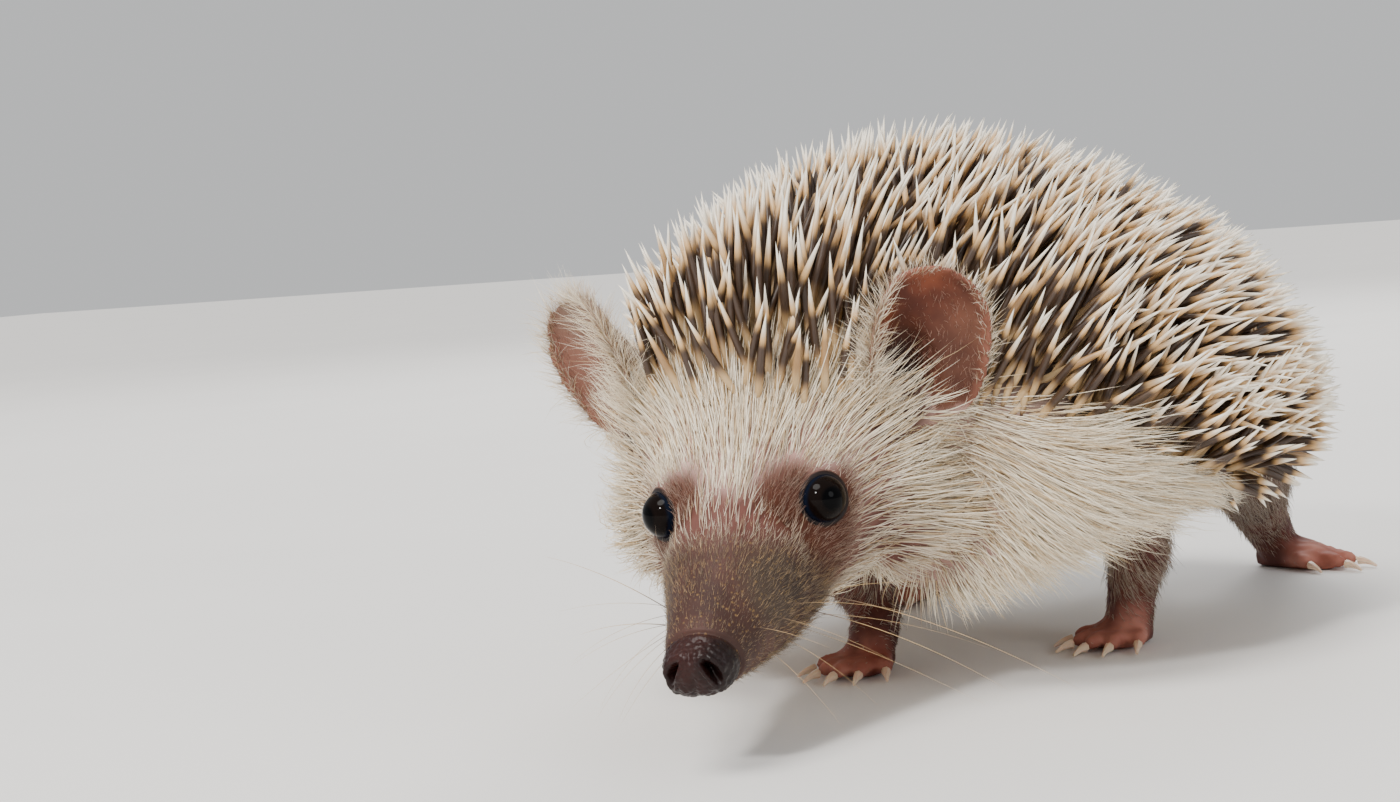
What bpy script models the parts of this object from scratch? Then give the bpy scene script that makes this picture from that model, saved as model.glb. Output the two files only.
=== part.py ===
"""A four-toed hedgehog (African pygmy hedgehog), walking with its nose held low.

The animal stands on z = 0 and faces -Y, so +X is its own left side. Every solid shows
the outer form of the animal, out to the tips of its spines and hair.
"""

import math

import bmesh
import bpy
from mathutils import Matrix, Vector

MM = 0.001
GAP = 0.3  # clear space between neighbouring solids

# Trunk: heights and widths over the tips of the coat, in millimetres.
TRUNK_FRONT_Y = -42.0
HIP_Y = -4.0
RUMP_LENGTH = 46.0  # from the hips to the rearmost spine tips
TRUNK_HALF_WIDTH = 42.0
TRUNK_TOP = 65.0
SKIRT_HEIGHT = 9.0  # hem of the chest fur above the ground
FLANK_HEM = 9.6  # the hem behind the front legs
HIP_HEM = 11.4
RUMP_DROP = 7.0  # how far the back slopes down behind the hips
HEM_RISE = 3.0  # how far the hem rises behind the hips
TRUNK_WIDEST = 27.0  # height of the widest line

# Head: placed by the point midway between the eyes.
EYE_LINE_PLACE = Vector((-4.2, -66.6, 24.9))
HEAD_YAW = 12.6  # degrees, towards the animal's left
HEAD_PITCH = 21.3  # degrees, nose down
HEAD_ROLL = -3.5  # degrees, right cheek lower
EYE_SPACING = 17.2  # between the middles of the eyeballs
EYE_RADIUS = 2.8
SNOUT_SWING = 1.1  # how far the tip of the nose swings to the animal's right
NOSE_REACH = 25.0  # from the eye line to the tip of the nose
NOSE_DROP = 5.7  # middle of the nose pad below the eye line
NOSE_DEPTH = 3.1
NOSE_HALF_WIDTH = 3.9
NOSE_HALF_HEIGHT = 3.0
MUZZLE_END = NOSE_REACH - NOSE_DEPTH - GAP
JAW_START = -6.0
JAW_END = 18.5
BACK_OF_HEAD = -15.0  # behind the eye line, where the neck begins
BROW = -7.5  # behind the eye line, where the spines begin
NECK_START_FULLNESS = 0.35
NECK_END_FULLNESS = 1.0

EAR_LENGTH = 18.5
EAR_WIDTH = 14.0
EAR_THICKNESS = 0.9
EAR_CURL = 1.0  # radians that each half of the ear bends forwards
EAR_HOLLOW = 2.2
EAR_LEAN = Vector((0.12, -0.05, 0.98))  # from its root to its tip
EARS = {  # middle and the way the hollow looks, as outward, forward and up of the eye line
    "left": (1, Vector((20.2, -13.7, 9.4)), Vector((0.47, 0.85, 0.10))),
    "right": (-1, Vector((18.0, -15.0, 10.4)), Vector((0.60, 0.79, 0.10))),
}

SOLE_PRESS = 0.3  # how much of each sole is pressed flat by the ground
LEG_SIDES = 10
TRUNK_SIDES = 36
HEAD_SIDES = 32
HEAD_RINGS = 20

SKIN_PINK = (0.46, 0.25, 0.19)
COAT_CREAM = (0.72, 0.64, 0.52)
SPINE_TAN = (0.42, 0.34, 0.26)
MUZZLE_BROWN = (0.24, 0.15, 0.12)
NOSE_BLACK = (0.03, 0.02, 0.02)
EYE_BLACK = (0.005, 0.005, 0.008)
CLAW_HORN = (0.60, 0.42, 0.28)


def clear_scene():
    for obj in list(bpy.data.objects):
        bpy.data.objects.remove(obj)


def make_material(name, colour, roughness):
    material = bpy.data.materials.new(name)
    material.use_nodes = True
    shader = material.node_tree.nodes["Principled BSDF"]
    shader.inputs["Base Color"].default_value = (*colour, 1.0)
    shader.inputs["Roughness"].default_value = roughness
    shader.inputs["Metallic"].default_value = 0.0
    return material


def smooth_between(stations, place):
    """Values at a place on a smooth curve through (place, value, value, ...) stations."""
    if place <= stations[0][0]:
        return stations[0][1:]
    for index in range(len(stations) - 1):
        before, after = stations[index], stations[index + 1]
        if place <= after[0]:
            break
    else:
        return stations[-1][1:]
    span = after[0] - before[0]
    t = (place - before[0]) / span
    first = stations[max(index - 1, 0)]
    last = stations[min(index + 2, len(stations) - 1)]
    values = []
    for low, start, end, high in zip(first[1:], before[1:], after[1:], last[1:]):
        slope_in = (end - low) / (after[0] - first[0]) * span
        slope_out = (high - start) / (last[0] - before[0]) * span
        values.append(
            (2 * t**3 - 3 * t**2 + 1) * start
            + (t**3 - 2 * t**2 + t) * slope_in
            + (-2 * t**3 + 3 * t**2) * end
            + (t**3 - t**2) * slope_out
        )
    return values


def oval(sides, half_width, top, bottom, widest, boxy_top=2.0, boxy_bottom=2.0):
    """Points (across, up) round a section that is widest at one height."""
    points = []
    for side in range(sides):
        angle = 2 * math.pi * side / sides
        across, up = math.cos(angle), math.sin(angle)
        boxy = boxy_top if up >= 0 else boxy_bottom
        reach = top - widest if up >= 0 else widest - bottom
        points.append((
            half_width * math.copysign(abs(across) ** (2 / boxy), across),
            widest + reach * math.copysign(abs(up) ** (2 / boxy), up),
        ))
    return points


def grown(section, by):
    """The section with every point moved outwards by a distance."""
    count = len(section)
    moved = []
    for i, (across, up) in enumerate(section):
        before, after = section[i - 1], section[(i + 1) % count]
        normal = Vector((after[1] - before[1], before[0] - after[0])).normalized()
        moved.append((across + by * normal.x, up + by * normal.y))
    return moved


def trunk_section(y, grow=0.0):
    """Ring of the trunk at a distance y along it."""
    stations = [  # y, half width, top, hem, height of the widest line, sideways shift, lower corner
        (TRUNK_FRONT_Y - 12, 24.0, 52.0, 12.5, 29.0, -4.0, 2.0),
        (TRUNK_FRONT_Y, 31.5, TRUNK_TOP - 4.5, SKIRT_HEIGHT, 28.5, -2.5, 2.1),
        (-30.0, TRUNK_HALF_WIDTH - 4.0, TRUNK_TOP - 0.8, SKIRT_HEIGHT + 0.5, TRUNK_WIDEST, -1.6, 2.3),
        (-18.0, TRUNK_HALF_WIDTH - 1.0, TRUNK_TOP - 0.3, FLANK_HEM, TRUNK_WIDEST, -0.6, 2.4),
        (HIP_Y, TRUNK_HALF_WIDTH, TRUNK_TOP - 2.6, HIP_HEM, TRUNK_WIDEST, 0.0, 2.4),
    ]
    half_width, top, hem, widest, shift, boxy = smooth_between(stations, min(y, HIP_Y))
    if y > HIP_Y:
        share = (y - HIP_Y) / RUMP_LENGTH
        close = (1 - share**2) ** 0.55
        half_width *= close
        top = widest + (top - widest - RUMP_DROP * share) * close
        hem = widest - (widest - hem - HEM_RISE * share) * close
    section = oval(TRUNK_SIDES, half_width, top, hem, widest, 2.0, boxy)
    return [Vector((x + shift, y, z)) for x, z in grown(section, grow)]


def trunk_rings(front, grow=0.0):
    """Rings from the front cut to the rump, which closes on a rounded end."""
    straight = 8
    closing = 10
    places = [front + (HIP_Y - front) * i / straight for i in range(straight)]
    places += [HIP_Y + RUMP_LENGTH * math.sin(math.pi / 2 * i / closing) for i in range(closing)]
    places.append(HIP_Y + RUMP_LENGTH * 0.997)
    return [trunk_section(y, grow) for y in places]


def head_matrix():
    """Turns (left, forward, up) of the eye line into the animal's own frame."""
    turn = (
        Matrix.Rotation(math.radians(HEAD_YAW), 3, "Z")
        @ Matrix.Rotation(math.radians(HEAD_PITCH), 3, "X")
        @ Matrix.Rotation(math.radians(HEAD_ROLL), 3, "Y")
    )
    forward = Matrix(((1, 0, 0), (0, -1, 0), (0, 0, 1)))
    return turn @ forward


def on_head(left, forward, up):
    swing = SNOUT_SWING * (max(forward, 0.0) / NOSE_REACH) ** 1.5
    return EYE_LINE_PLACE + head_matrix() @ Vector((left - swing, forward, up))


def head_section(forward, grow=0.0):
    """Ring of the head at a distance forward of the eye line."""
    stations = [  # forward, half width, top, bottom, height of the widest line
        (BACK_OF_HEAD - 6, 21.0, 27.0, -18.0, -3.0, 1.8),
        (BACK_OF_HEAD, 18.8, 27.0, -16.5, -4.0, 1.85),
        (BROW - 3.0, 16.8, 24.0, -15.8, -4.5, 1.85),
        (BROW, 14.9, 13.0, -15.2, -5.0, 1.95),
        (BROW + 2.5, 13.2, 10.0, -14.8, -5.4, 2.0),
        (0.0, 11.2, 7.4, -14.2, -6.0, 2.0),
        (5.0, 9.0, 4.8, -13.2, -6.2, 2.0),
        (10.0, 7.0, 2.4, -12.0, -6.2, 2.0),
        (15.0, 5.5, 0.3, -10.6, -6.0, 2.0),
        (19.0, 4.5, -1.3, -9.4, -5.8, 2.0),
        (MUZZLE_END, 3.9, -2.3, -8.7, -5.7, 2.0),
    ]
    half_width, top, bottom, widest, boxy = smooth_between(stations, forward)
    section = oval(HEAD_SIDES, half_width, top, bottom, widest, boxy, 2.2)
    return [on_head(x, forward, z) for x, z in grown(section, grow)]


def jaw_section(forward):
    """Ring of the lower jaw, which is narrower than the muzzle above it."""
    stations = [  # forward, half width, top, bottom
        (JAW_START, 8.0, -8.5, -16.2),
        (2.0, 6.0, -8.5, -15.0),
        (10.0, 3.9, -8.0, -12.8),
        (16.0, 2.6, -7.4, -11.1),
        (JAW_END, 1.5, -7.5, -10.2),
    ]
    half_width, top, bottom = smooth_between(stations, forward)
    section = oval(16, half_width, top, bottom, (top + bottom) / 2, 2.0, 2.3)
    return [on_head(x, forward, z) for x, z in section]


def neck_rings(rings):
    """Rings that carry the head's back ring smoothly into the trunk's front ring."""
    head = [resampled(head_section(BACK_OF_HEAD + step), TRUNK_SIDES) for step in (-GAP, 2.0)]
    trunk = [trunk_section(TRUNK_FRONT_Y - GAP + step) for step in (0.0, 3.0)]
    made = []
    for i in range(rings):
        t = i / (rings - 1)
        ring = []
        for start, ahead, end, behind in zip(head[0], head[1], trunk[0], trunk[1]):
            reach = (end - start).length
            away = (start - ahead).normalized() * reach * NECK_START_FULLNESS
            arrive = (behind - end).normalized() * reach * NECK_END_FULLNESS
            ring.append(
                (2 * t**3 - 3 * t**2 + 1) * start
                + (t**3 - 2 * t**2 + t) * away
                + (-2 * t**3 + 3 * t**2) * end
                + (t**3 - t**2) * arrive
            )
        made.append(ring)
    return made


def resampled(ring, count):
    """The closed ring with another number of points, at equal shares of its own."""
    points = []
    for i in range(count):
        place = i * len(ring) / count
        low = int(place)
        share = place - low
        points.append(ring[low % len(ring)].lerp(ring[(low + 1) % len(ring)], share))
    return points


def object_from(mesh_maker, name, material, helper=False):
    """A named object from a function that fills a bmesh; its origin is its middle."""
    shape = bmesh.new()
    mesh_maker(shape)
    bmesh.ops.recalc_face_normals(shape, faces=shape.faces)
    bmesh.ops.scale(shape, vec=(MM, MM, MM), verts=shape.verts)
    middle = sum((vert.co for vert in shape.verts), Vector()) / len(shape.verts)
    bmesh.ops.translate(shape, vec=-middle, verts=shape.verts)
    mesh = bpy.data.meshes.new(name)
    shape.to_mesh(mesh)
    shape.free()
    mesh.shade_smooth()
    mesh.set_sharp_from_angle(angle=math.radians(40))
    if material:
        mesh.materials.append(material)
    obj = bpy.data.objects.new(name, mesh)
    obj.location = middle
    bpy.context.scene.collection.objects.link(obj)
    if helper:
        obj.hide_render = True
        obj.display_type = "WIRE"
    return obj


def loft(shape, rings, start_point=None, end_point=None):
    """Skin over a row of rings, closed by flat caps or by end points."""
    rows = [[shape.verts.new(point) for point in ring] for ring in rings]
    for row, following in zip(rows, rows[1:]):
        for i in range(len(row)):
            j = (i + 1) % len(row)
            shape.faces.new((row[i], row[j], following[j], following[i]))
    for row, tip in ((rows[0], start_point), (rows[-1], end_point)):
        if tip is None:
            shape.faces.new(row)
            continue
        point = shape.verts.new(tip)
        for i in range(len(row)):
            shape.faces.new((row[i], row[(i + 1) % len(row)], point))


def tube_rings(path, radii, sides, flatten=1.0, close_ends=False):
    """Rings along a bent path; flatten squeezes them in their upward direction."""
    rings = []
    for i, centre in enumerate(path):
        ahead = path[min(i + 1, len(path) - 1)] - path[max(i - 1, 0)]
        ahead.normalize()
        across = ahead.cross(Vector((0, 0, 1)))
        if across.length < 0.05:
            across = Vector((1, 0, 0))
        across.normalize()
        upward = across.cross(ahead).normalized()
        rings.append([
            centre
            + across * radii[i] * math.cos(2 * math.pi * k / sides)
            + upward * radii[i] * flatten * math.sin(2 * math.pi * k / sides)
            for k in range(sides)
        ])
    return rings


def bent_path(points, count):
    """Points on a smooth curve through a few named places."""
    stations = [(float(i), *point) for i, point in enumerate(points)]
    last = len(points) - 1
    return [Vector(smooth_between(stations, last * i / (count - 1))) for i in range(count)]


def cut(obj, tool, operation="DIFFERENCE"):
    modifier = obj.modifiers.new(operation.title() + " " + tool.name, "BOOLEAN")
    modifier.operation = operation
    modifier.solver = "EXACT"
    modifier.object = tool
    return modifier


def ball(shape, centre, radius, rings=10, sides=16):
    """A sphere, its poles along the animal's left."""
    bmesh.ops.create_uvsphere(
        shape,
        u_segments=sides,
        v_segments=rings,
        radius=radius,
        matrix=Matrix.Translation(centre) @ Matrix.Rotation(math.pi / 2, 4, "Y"),
    )


def make_trunk(material):
    def fill(shape):
        tip_y = HIP_Y + RUMP_LENGTH
        loft(shape, trunk_rings(TRUNK_FRONT_Y), None, Vector((0, tip_y, TRUNK_WIDEST)))

    def fill_clearance(shape):
        tip_y = HIP_Y + RUMP_LENGTH + GAP
        rings = trunk_rings(TRUNK_FRONT_Y - GAP, GAP)
        loft(shape, rings, None, Vector((0, tip_y, TRUNK_WIDEST)))

    trunk = object_from(fill, "trunk", material)
    clearance = object_from(fill_clearance, "trunk_clearance", None, helper=True)
    return trunk, clearance


def make_neck(material):
    def fill(shape):
        loft(shape, neck_rings(7))

    def fill_clearance(shape):
        rings = []
        for ring in neck_rings(7):
            centre = sum(ring, Vector()) / len(ring)
            rings.append([p + (p - centre).normalized() * GAP for p in ring])
        loft(shape, rings)

    neck = object_from(fill, "neck", material)
    return neck, object_from(fill_clearance, "neck_clearance", None, helper=True)


def head_places():
    return [BACK_OF_HEAD + (MUZZLE_END - BACK_OF_HEAD) * i / HEAD_RINGS for i in range(HEAD_RINGS + 1)]


def make_head(material):
    def fill(shape):
        loft(shape, [head_section(place) for place in head_places()])

    def fill_clearance(shape):
        loft(shape, [head_section(place, GAP) for place in head_places()])

    def fill_jaw(shape):
        places = [JAW_START + (JAW_END - JAW_START) * i / 10 for i in range(11)]
        rings = [jaw_section(place) for place in places]
        loft(shape, rings, None, on_head(0, JAW_END + 0.6, -8.8))

    head = object_from(fill, "head", material)
    jaw = object_from(fill_jaw, "jaw_shape", None, helper=True)
    cut(head, jaw, "UNION")
    return head, object_from(fill_clearance, "head_clearance", None, helper=True)


def make_nose(material):
    """The bare pad at the tip, with a nostril opening to each side."""
    base = MUZZLE_END + GAP
    sides = 20

    def fill(shape):
        rings = []
        for step in range(7):
            turn = math.pi / 2 * step / 7
            forward = base + NOSE_DEPTH * math.sin(turn)
            size = math.cos(turn) ** 0.55  # keeps the pad blunt
            height = NOSE_HALF_HEIGHT * size
            middle = -NOSE_DROP
            section = oval(sides, NOSE_HALF_WIDTH * size, middle + height, middle - height, middle, 2.3, 2.3)
            rings.append([on_head(x, forward, z) for x, z in section])
        loft(shape, rings, None, on_head(0, NOSE_REACH, -NOSE_DROP))

    nose = object_from(fill, "nose", material)
    for side, word in ((1, "left"), (-1, "right")):

        def fill_nostril(shape, side=side):
            path = [
                on_head(side * 3.4, NOSE_REACH + 0.4, -NOSE_DROP - 0.7),
                on_head(side * 1.5, NOSE_REACH - 1.6, -NOSE_DROP),
            ]
            loft(shape, tube_rings(path, [0.95, 0.45], 10))

        cut(nose, object_from(fill_nostril, "nostril_" + word, None, helper=True))


def make_eyes(head, material):
    for side, word in ((1, "left"), (-1, "right")):
        centre = on_head(side * EYE_SPACING / 2, -0.2, 0.0)
        object_from(lambda s, c=centre: ball(s, c, EYE_RADIUS), "eye_" + word, material)
        socket = object_from(
            lambda s, c=centre: ball(s, c, EYE_RADIUS + GAP), "socket_" + word, None, helper=True
        )
        cut(head, socket)


def ear_point(word, share, across, depth):
    """A point of a cupped ear: share up its length, across from -1 to 1, depth back."""
    side, middle, look = EARS[word]
    upward = EAR_LEAN.normalized()
    facing = (look - upward * look.dot(upward)).normalized()
    outward = facing.cross(upward).normalized()
    angle = math.pi * (0.06 + 0.94 * share)
    half = EAR_WIDTH / 2 * max(math.sin(angle), 0.0) ** 0.75
    cup = (1 - math.cos(across * EAR_CURL)) * half * 0.8 + 1.2 * share**2
    local = (
        middle
        - upward * EAR_LENGTH / 2 * math.cos(angle)
        + outward * half * math.sin(across * EAR_CURL) / math.sin(EAR_CURL)
        + facing * (cup - EAR_HOLLOW - depth)
    )
    return on_head(side * local.x, local.y, local.z)


def make_ears(material, hollows):
    rows, columns = 10, 10
    for word in EARS:

        def fill(shape, word=word):
            faces = []
            for depth in (0.0, EAR_THICKNESS):
                faces.append([
                    [
                        shape.verts.new(ear_point(word, r / (rows + 0.3), 2 * c / columns - 1, depth))
                        for c in range(columns + 1)
                    ]
                    for r in range(rows + 1)
                ])
            for grid in faces:
                for r in range(rows):
                    for c in range(columns):
                        corners = (grid[r][c], grid[r][c + 1], grid[r + 1][c + 1], grid[r + 1][c])
                        shape.faces.new(corners)
            front, back = faces
            rim = [(r, 0) for r in range(rows)] + [(rows, c) for c in range(columns)]
            rim += [(r, columns) for r in range(rows, 0, -1)]
            rim += [(0, c) for c in range(columns, 0, -1)]
            for i, (r, c) in enumerate(rim):
                r2, c2 = rim[(i + 1) % len(rim)]
                shape.faces.new((front[r][c], front[r2][c2], back[r2][c2], back[r][c]))

        ear = object_from(fill, "ear_" + word, material)
        for tool in hollows:
            cut(ear, tool)


def make_limb(name, places, radii, foot, skin, horn, hollows):
    """A leg and its foot. foot holds the heel, direction, size and toes in a dictionary."""
    path = bent_path(places, 9)
    stations = [(i / (len(radii) - 1), r) for i, r in enumerate(radii)]
    sizes = [smooth_between(stations, i / 8)[0] for i in range(9)]
    leg = object_from(lambda s: loft(s, tube_rings(path, sizes, LEG_SIDES)), "leg_" + name, skin)
    for tool in hollows:
        cut(leg, tool)
    beyond = (path[-1] - path[-2]).normalized() * GAP
    clear_path = path[:-1] + [path[-1] + beyond]
    clear_sizes = [size + GAP for size in sizes]
    socket = object_from(
        lambda s: loft(s, tube_rings(clear_path, clear_sizes, LEG_SIDES)),
        "leg_clearance_" + name, None, helper=True,
    )
    make_foot(name, foot, socket, skin, horn)


def make_foot(name, foot, socket, skin, horn):
    """A flat-soled paw with its toes, and a claw at the end of each toe."""
    heading = math.radians(foot["heading"])
    forward = Vector((math.sin(heading), -math.cos(heading), 0))
    across = Vector((math.cos(heading), math.sin(heading), 0))
    heel, length, half_width = foot["heel"], foot["length"], foot["half_width"]
    height = foot["height"]

    def fill_palm(shape):
        rings = []
        steps = 7
        for i in range(steps):
            share = i / (steps - 1)
            swell = math.sin(math.pi * (0.14 + 0.74 * share)) ** 0.6
            half = half_width * swell * (0.72 + 0.28 * share)
            top = height * (1.0 - 0.35 * share) * swell + 0.5
            section = oval(12, half, top, -SOLE_PRESS, top * 0.42, 2.0, 3.2)
            centre = heel + forward * length * share
            rings.append([centre + across * x + Vector((0, 0, z)) for x, z in section])
        loft(shape, rings)

    paw = object_from(fill_palm, "foot_" + name, skin)
    count = foot["toes"]
    for toe in range(count):
        spread = (toe - (count - 1) / 2) / ((count - 1) / 2)
        angle = math.radians(foot["splay"]) * spread
        direction = forward * math.cos(angle) + across * math.sin(angle)
        reach = foot["toe_length"] * (1.0 - 0.30 * spread**2)
        start = heel + forward * length * (0.80 - 0.22 * spread**2)
        start = start + across * half_width * 0.70 * spread
        thick = foot["toe_radius"]
        knuckle = start + direction * reach * 0.5 + Vector((0, 0, thick * 1.35))
        tip = start + direction * reach + Vector((0, 0, thick - SOLE_PRESS / 2))
        root = start - direction * 1.2 + Vector((0, 0, thick * 1.1))
        path = bent_path([root, knuckle, tip], 5)
        sizes = [thick * f for f in (0.9, 1.0, 0.98, 0.95, 0.62)]

        def fill_toe(shape, path=path, sizes=sizes):
            loft(shape, tube_rings(path, sizes, 7))

        word = f"{name}_{toe + 1}"
        cut(paw, object_from(fill_toe, "toe_" + word, None, helper=True), "UNION")
        make_claw(word, path[-1], direction, foot["claw_length"], foot["claw_radius"], horn)
    cut(paw, socket)
    cut(paw, floor_cutter(name, heel))


def floor_cutter(name, heel):
    """A block below the ground plane, which leaves small flats on the soles."""

    def fill(shape):
        bmesh.ops.create_cube(
            shape, size=1.0, matrix=Matrix.Translation(heel + Vector((0, 0, -10)))
            @ Matrix.Diagonal((80, 80, 20, 1)),
        )

    return object_from(fill, "ground_" + name, None, helper=True)


def make_claw(word, toe_tip, direction, length, radius, material):
    """A curved, tapering claw that starts just ahead of its toe."""
    steps = 5
    path, sizes = [], []
    for i in range(steps):
        share = i / (steps - 1)
        drop = -0.62 * share**2 * length * 0.45
        path.append(toe_tip + direction * (GAP + 0.05 + length * share) + Vector((0, 0, drop)))
        sizes.append(radius * (1.0 - 0.72 * share))
    lowest = min(p.z - s for p, s in zip(path, sizes))
    lift = Vector((0, 0, max(0.0, 0.05 - lowest)))
    path = [p + lift for p in path]
    object_from(lambda s: loft(s, tube_rings(path, sizes, 7)), "claw_" + word, material)


def make_tail(material, hollows):
    """The short bare tail under the rump."""
    path = bent_path([Vector((0, 30, 21)), Vector((0.6, 37, 15.5)), Vector((1.2, 41.5, 12.0))], 8)
    sizes = [2.6 - 1.9 * i / 7 for i in range(8)]
    tail = object_from(lambda s: loft(s, tube_rings(path, sizes, 10)), "tail", material)
    for tool in hollows:
        cut(tail, tool)


FRONT_FOOT = {
    "length": 8.0, "half_width": 4.1, "height": 4.4, "toes": 5, "toe_length": 5.0,
    "toe_radius": 1.15, "splay": 32.0, "claw_length": 2.4, "claw_radius": 0.6,
}
HIND_FOOT = {
    "length": 12.5, "half_width": 3.9, "height": 4.8, "toes": 4, "toe_length": 5.2,
    "toe_radius": 1.2, "splay": 24.0, "claw_length": 2.6, "claw_radius": 0.62,
}


def make_limbs(skin, horn, hollows):
    limbs = {
        "front_left": (
            [Vector((22, -26, 25)), Vector((23, -18, 17)), Vector((19.8, -11, 8.5)), Vector((18.8, -10.6, 2.8))],
            [6.5, 5.2, 3.2, 2.9],
            dict(FRONT_FOOT, heel=Vector((19.4, -7.4, 0)), heading=-18.0),
        ),
        "front_right": (
            [Vector((-18, -34, 25)), Vector((-15, -27, 17)), Vector((-7.6, -28, 8)), Vector((-7.2, -30.4, 2.8))],
            [6.5, 5.2, 3.2, 2.9],
            dict(FRONT_FOOT, heel=Vector((-7.2, -27, 0)), heading=-6.0),
        ),
        "hind_left": (
            [Vector((20, 18, 24)), Vector((22, 31, 18)), Vector((20.5, 44.5, 9)), Vector((21.5, 49.5, 3.2))],
            [9.0, 6.4, 3.8, 2.9],
            dict(HIND_FOOT, heel=Vector((18.6, 51.0, 0)), heading=72.0),
        ),
        "hind_right": (
            [Vector((-21, 12, 25)), Vector((-23.2, 13.5, 17)), Vector((-22.6, 18, 9.5)), Vector((-22, 21.6, 3.2))],
            [8.4, 6.2, 3.9, 3.0],
            dict(HIND_FOOT, heel=Vector((-21.6, 24.5, 0)), heading=-16.0),
        ),
    }
    for name, (places, radii, foot) in limbs.items():
        make_limb(name, places, radii, foot, skin, horn, hollows)


def centre_origin():
    """Moves the whole animal so that the origin lies under the middle of its box."""
    bpy.context.view_layer.update()
    graph = bpy.context.evaluated_depsgraph_get()
    corners = []
    for obj in bpy.context.scene.objects:
        if obj.hide_render or obj.type != "MESH":
            continue
        solid = obj.evaluated_get(graph)
        corners += [obj.matrix_world @ Vector(corner) for corner in solid.bound_box]
    shift_x = -(min(c.x for c in corners) + max(c.x for c in corners)) / 2
    shift_y = -(min(c.y for c in corners) + max(c.y for c in corners)) / 2
    base = bpy.data.objects.new("hedgehog", None)
    bpy.context.scene.collection.objects.link(base)
    for obj in list(bpy.context.scene.objects):
        if obj is not base:
            obj.parent = base
    base.location = (shift_x, shift_y, 0)


def main():
    clear_scene()
    spines = make_material("spines", SPINE_TAN, 0.5)
    fur = make_material("fur", COAT_CREAM, 0.8)
    skin = make_material("bare_skin", SKIN_PINK, 0.6)
    muzzle = make_material("muzzle", MUZZLE_BROWN, 0.6)
    wet_black = make_material("nose_pad", NOSE_BLACK, 0.25)
    eye_black = make_material("eye", EYE_BLACK, 0.05)
    horn = make_material("claw", CLAW_HORN, 0.35)

    trunk, trunk_room = make_trunk(spines)
    neck, neck_room = make_neck(fur)
    head, head_room = make_head(muzzle)
    make_nose(wet_black)
    make_eyes(head, eye_black)
    make_ears(skin, (head_room, neck_room, trunk_room))
    make_limbs(skin, horn, (trunk_room,))
    make_tail(skin, (trunk_room,))
    centre_origin()


main()
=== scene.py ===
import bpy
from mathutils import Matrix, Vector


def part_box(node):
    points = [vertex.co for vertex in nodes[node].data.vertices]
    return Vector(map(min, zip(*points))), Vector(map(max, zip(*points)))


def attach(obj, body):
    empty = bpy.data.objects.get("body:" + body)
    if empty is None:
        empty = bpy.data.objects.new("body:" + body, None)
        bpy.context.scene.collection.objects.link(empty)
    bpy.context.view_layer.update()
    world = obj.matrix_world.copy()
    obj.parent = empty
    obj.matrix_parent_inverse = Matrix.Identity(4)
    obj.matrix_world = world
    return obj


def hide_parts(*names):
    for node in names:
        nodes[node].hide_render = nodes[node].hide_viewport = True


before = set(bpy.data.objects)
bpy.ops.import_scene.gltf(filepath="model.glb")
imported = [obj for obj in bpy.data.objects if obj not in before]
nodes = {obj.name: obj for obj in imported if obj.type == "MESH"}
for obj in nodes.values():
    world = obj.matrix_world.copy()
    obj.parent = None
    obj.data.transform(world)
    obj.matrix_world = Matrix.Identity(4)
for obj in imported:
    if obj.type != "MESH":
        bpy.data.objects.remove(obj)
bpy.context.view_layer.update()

import math

import bmesh
import bpy
import numpy as np
from mathutils import Matrix, Vector
from mathutils.bvhtree import BVHTree
from mathutils.kdtree import KDTree

# All shapes are worked out in millimetres and written to the meshes in metres.
toMetres = 0.001
rng = np.random.default_rng(20)

headPlan = {
    "noseDrop": 13.6,  # degrees that the nose lies under straight ahead
    "snoutReach": 23.4,  # from the line of the eyes to the nose pad
    "swingPower": 1.5,  # how late along the snout it turns to one side
}


def say(stage):
    print("hedgehog:", stage)


def middleOf(node):
    low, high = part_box(node)
    return np.array(low + high) / 2 / toMetres


def unit(vectors):
    vectors = np.asarray(vectors, float)
    return vectors / np.maximum(np.linalg.norm(vectors, axis=-1, keepdims=True), 1e-9)


def ramp(values, start, end):
    # 0 before start, 1 after end, smooth between; end may be below start
    t = np.clip((values - start) / (end - start), 0, 1)
    return t * t * (3 - 2 * t)


def bell(values, middle, width):
    # 1 at the middle, dying away on both sides
    return np.exp(-(((values - middle) / width) ** 2))


# The head's own axes: left, forward and up, from the middle of the eye line.
leftEye = middleOf("eye_left")
rightEye = middleOf("eye_right")
noseMiddle = middleOf("nose")
noseDrop = math.radians(headPlan["noseDrop"])
leftAxis = unit(leftEye - rightEye)
eyeLine = (leftEye + rightEye) / 2
toNose = noseMiddle - eyeLine
toNose = unit(toNose - leftAxis * (toNose @ leftAxis))
forwardAxis = unit(toNose * math.cos(noseDrop) + np.cross(toNose, leftAxis) * math.sin(noseDrop))
headAxes = np.stack([leftAxis, forwardAxis, np.cross(forwardAxis, leftAxis)])
snoutSwing = (noseMiddle - eyeLine) @ leftAxis  # the nose points a little to one side


def swingAt(forward):
    return snoutSwing * (np.maximum(forward, 0) / headPlan["snoutReach"]) ** headPlan["swingPower"]


def toHead(points):
    head = (points - eyeLine) @ headAxes.T
    head[..., 0] -= swingAt(head[..., 1])
    return head


def fromHead(points):
    head = np.array(points, float)
    head[..., 0] += swingAt(head[..., 1])
    return eyeLine + head @ headAxes


def headTurned(vectors):
    # directions on the head's axes to directions in the room
    return np.asarray(vectors, float) @ headAxes


def foldedOver(head):
    # places on the head with its right side laid over its left
    return np.concatenate([np.abs(head[:, :1]), head[:, 1:]], 1)


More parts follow.
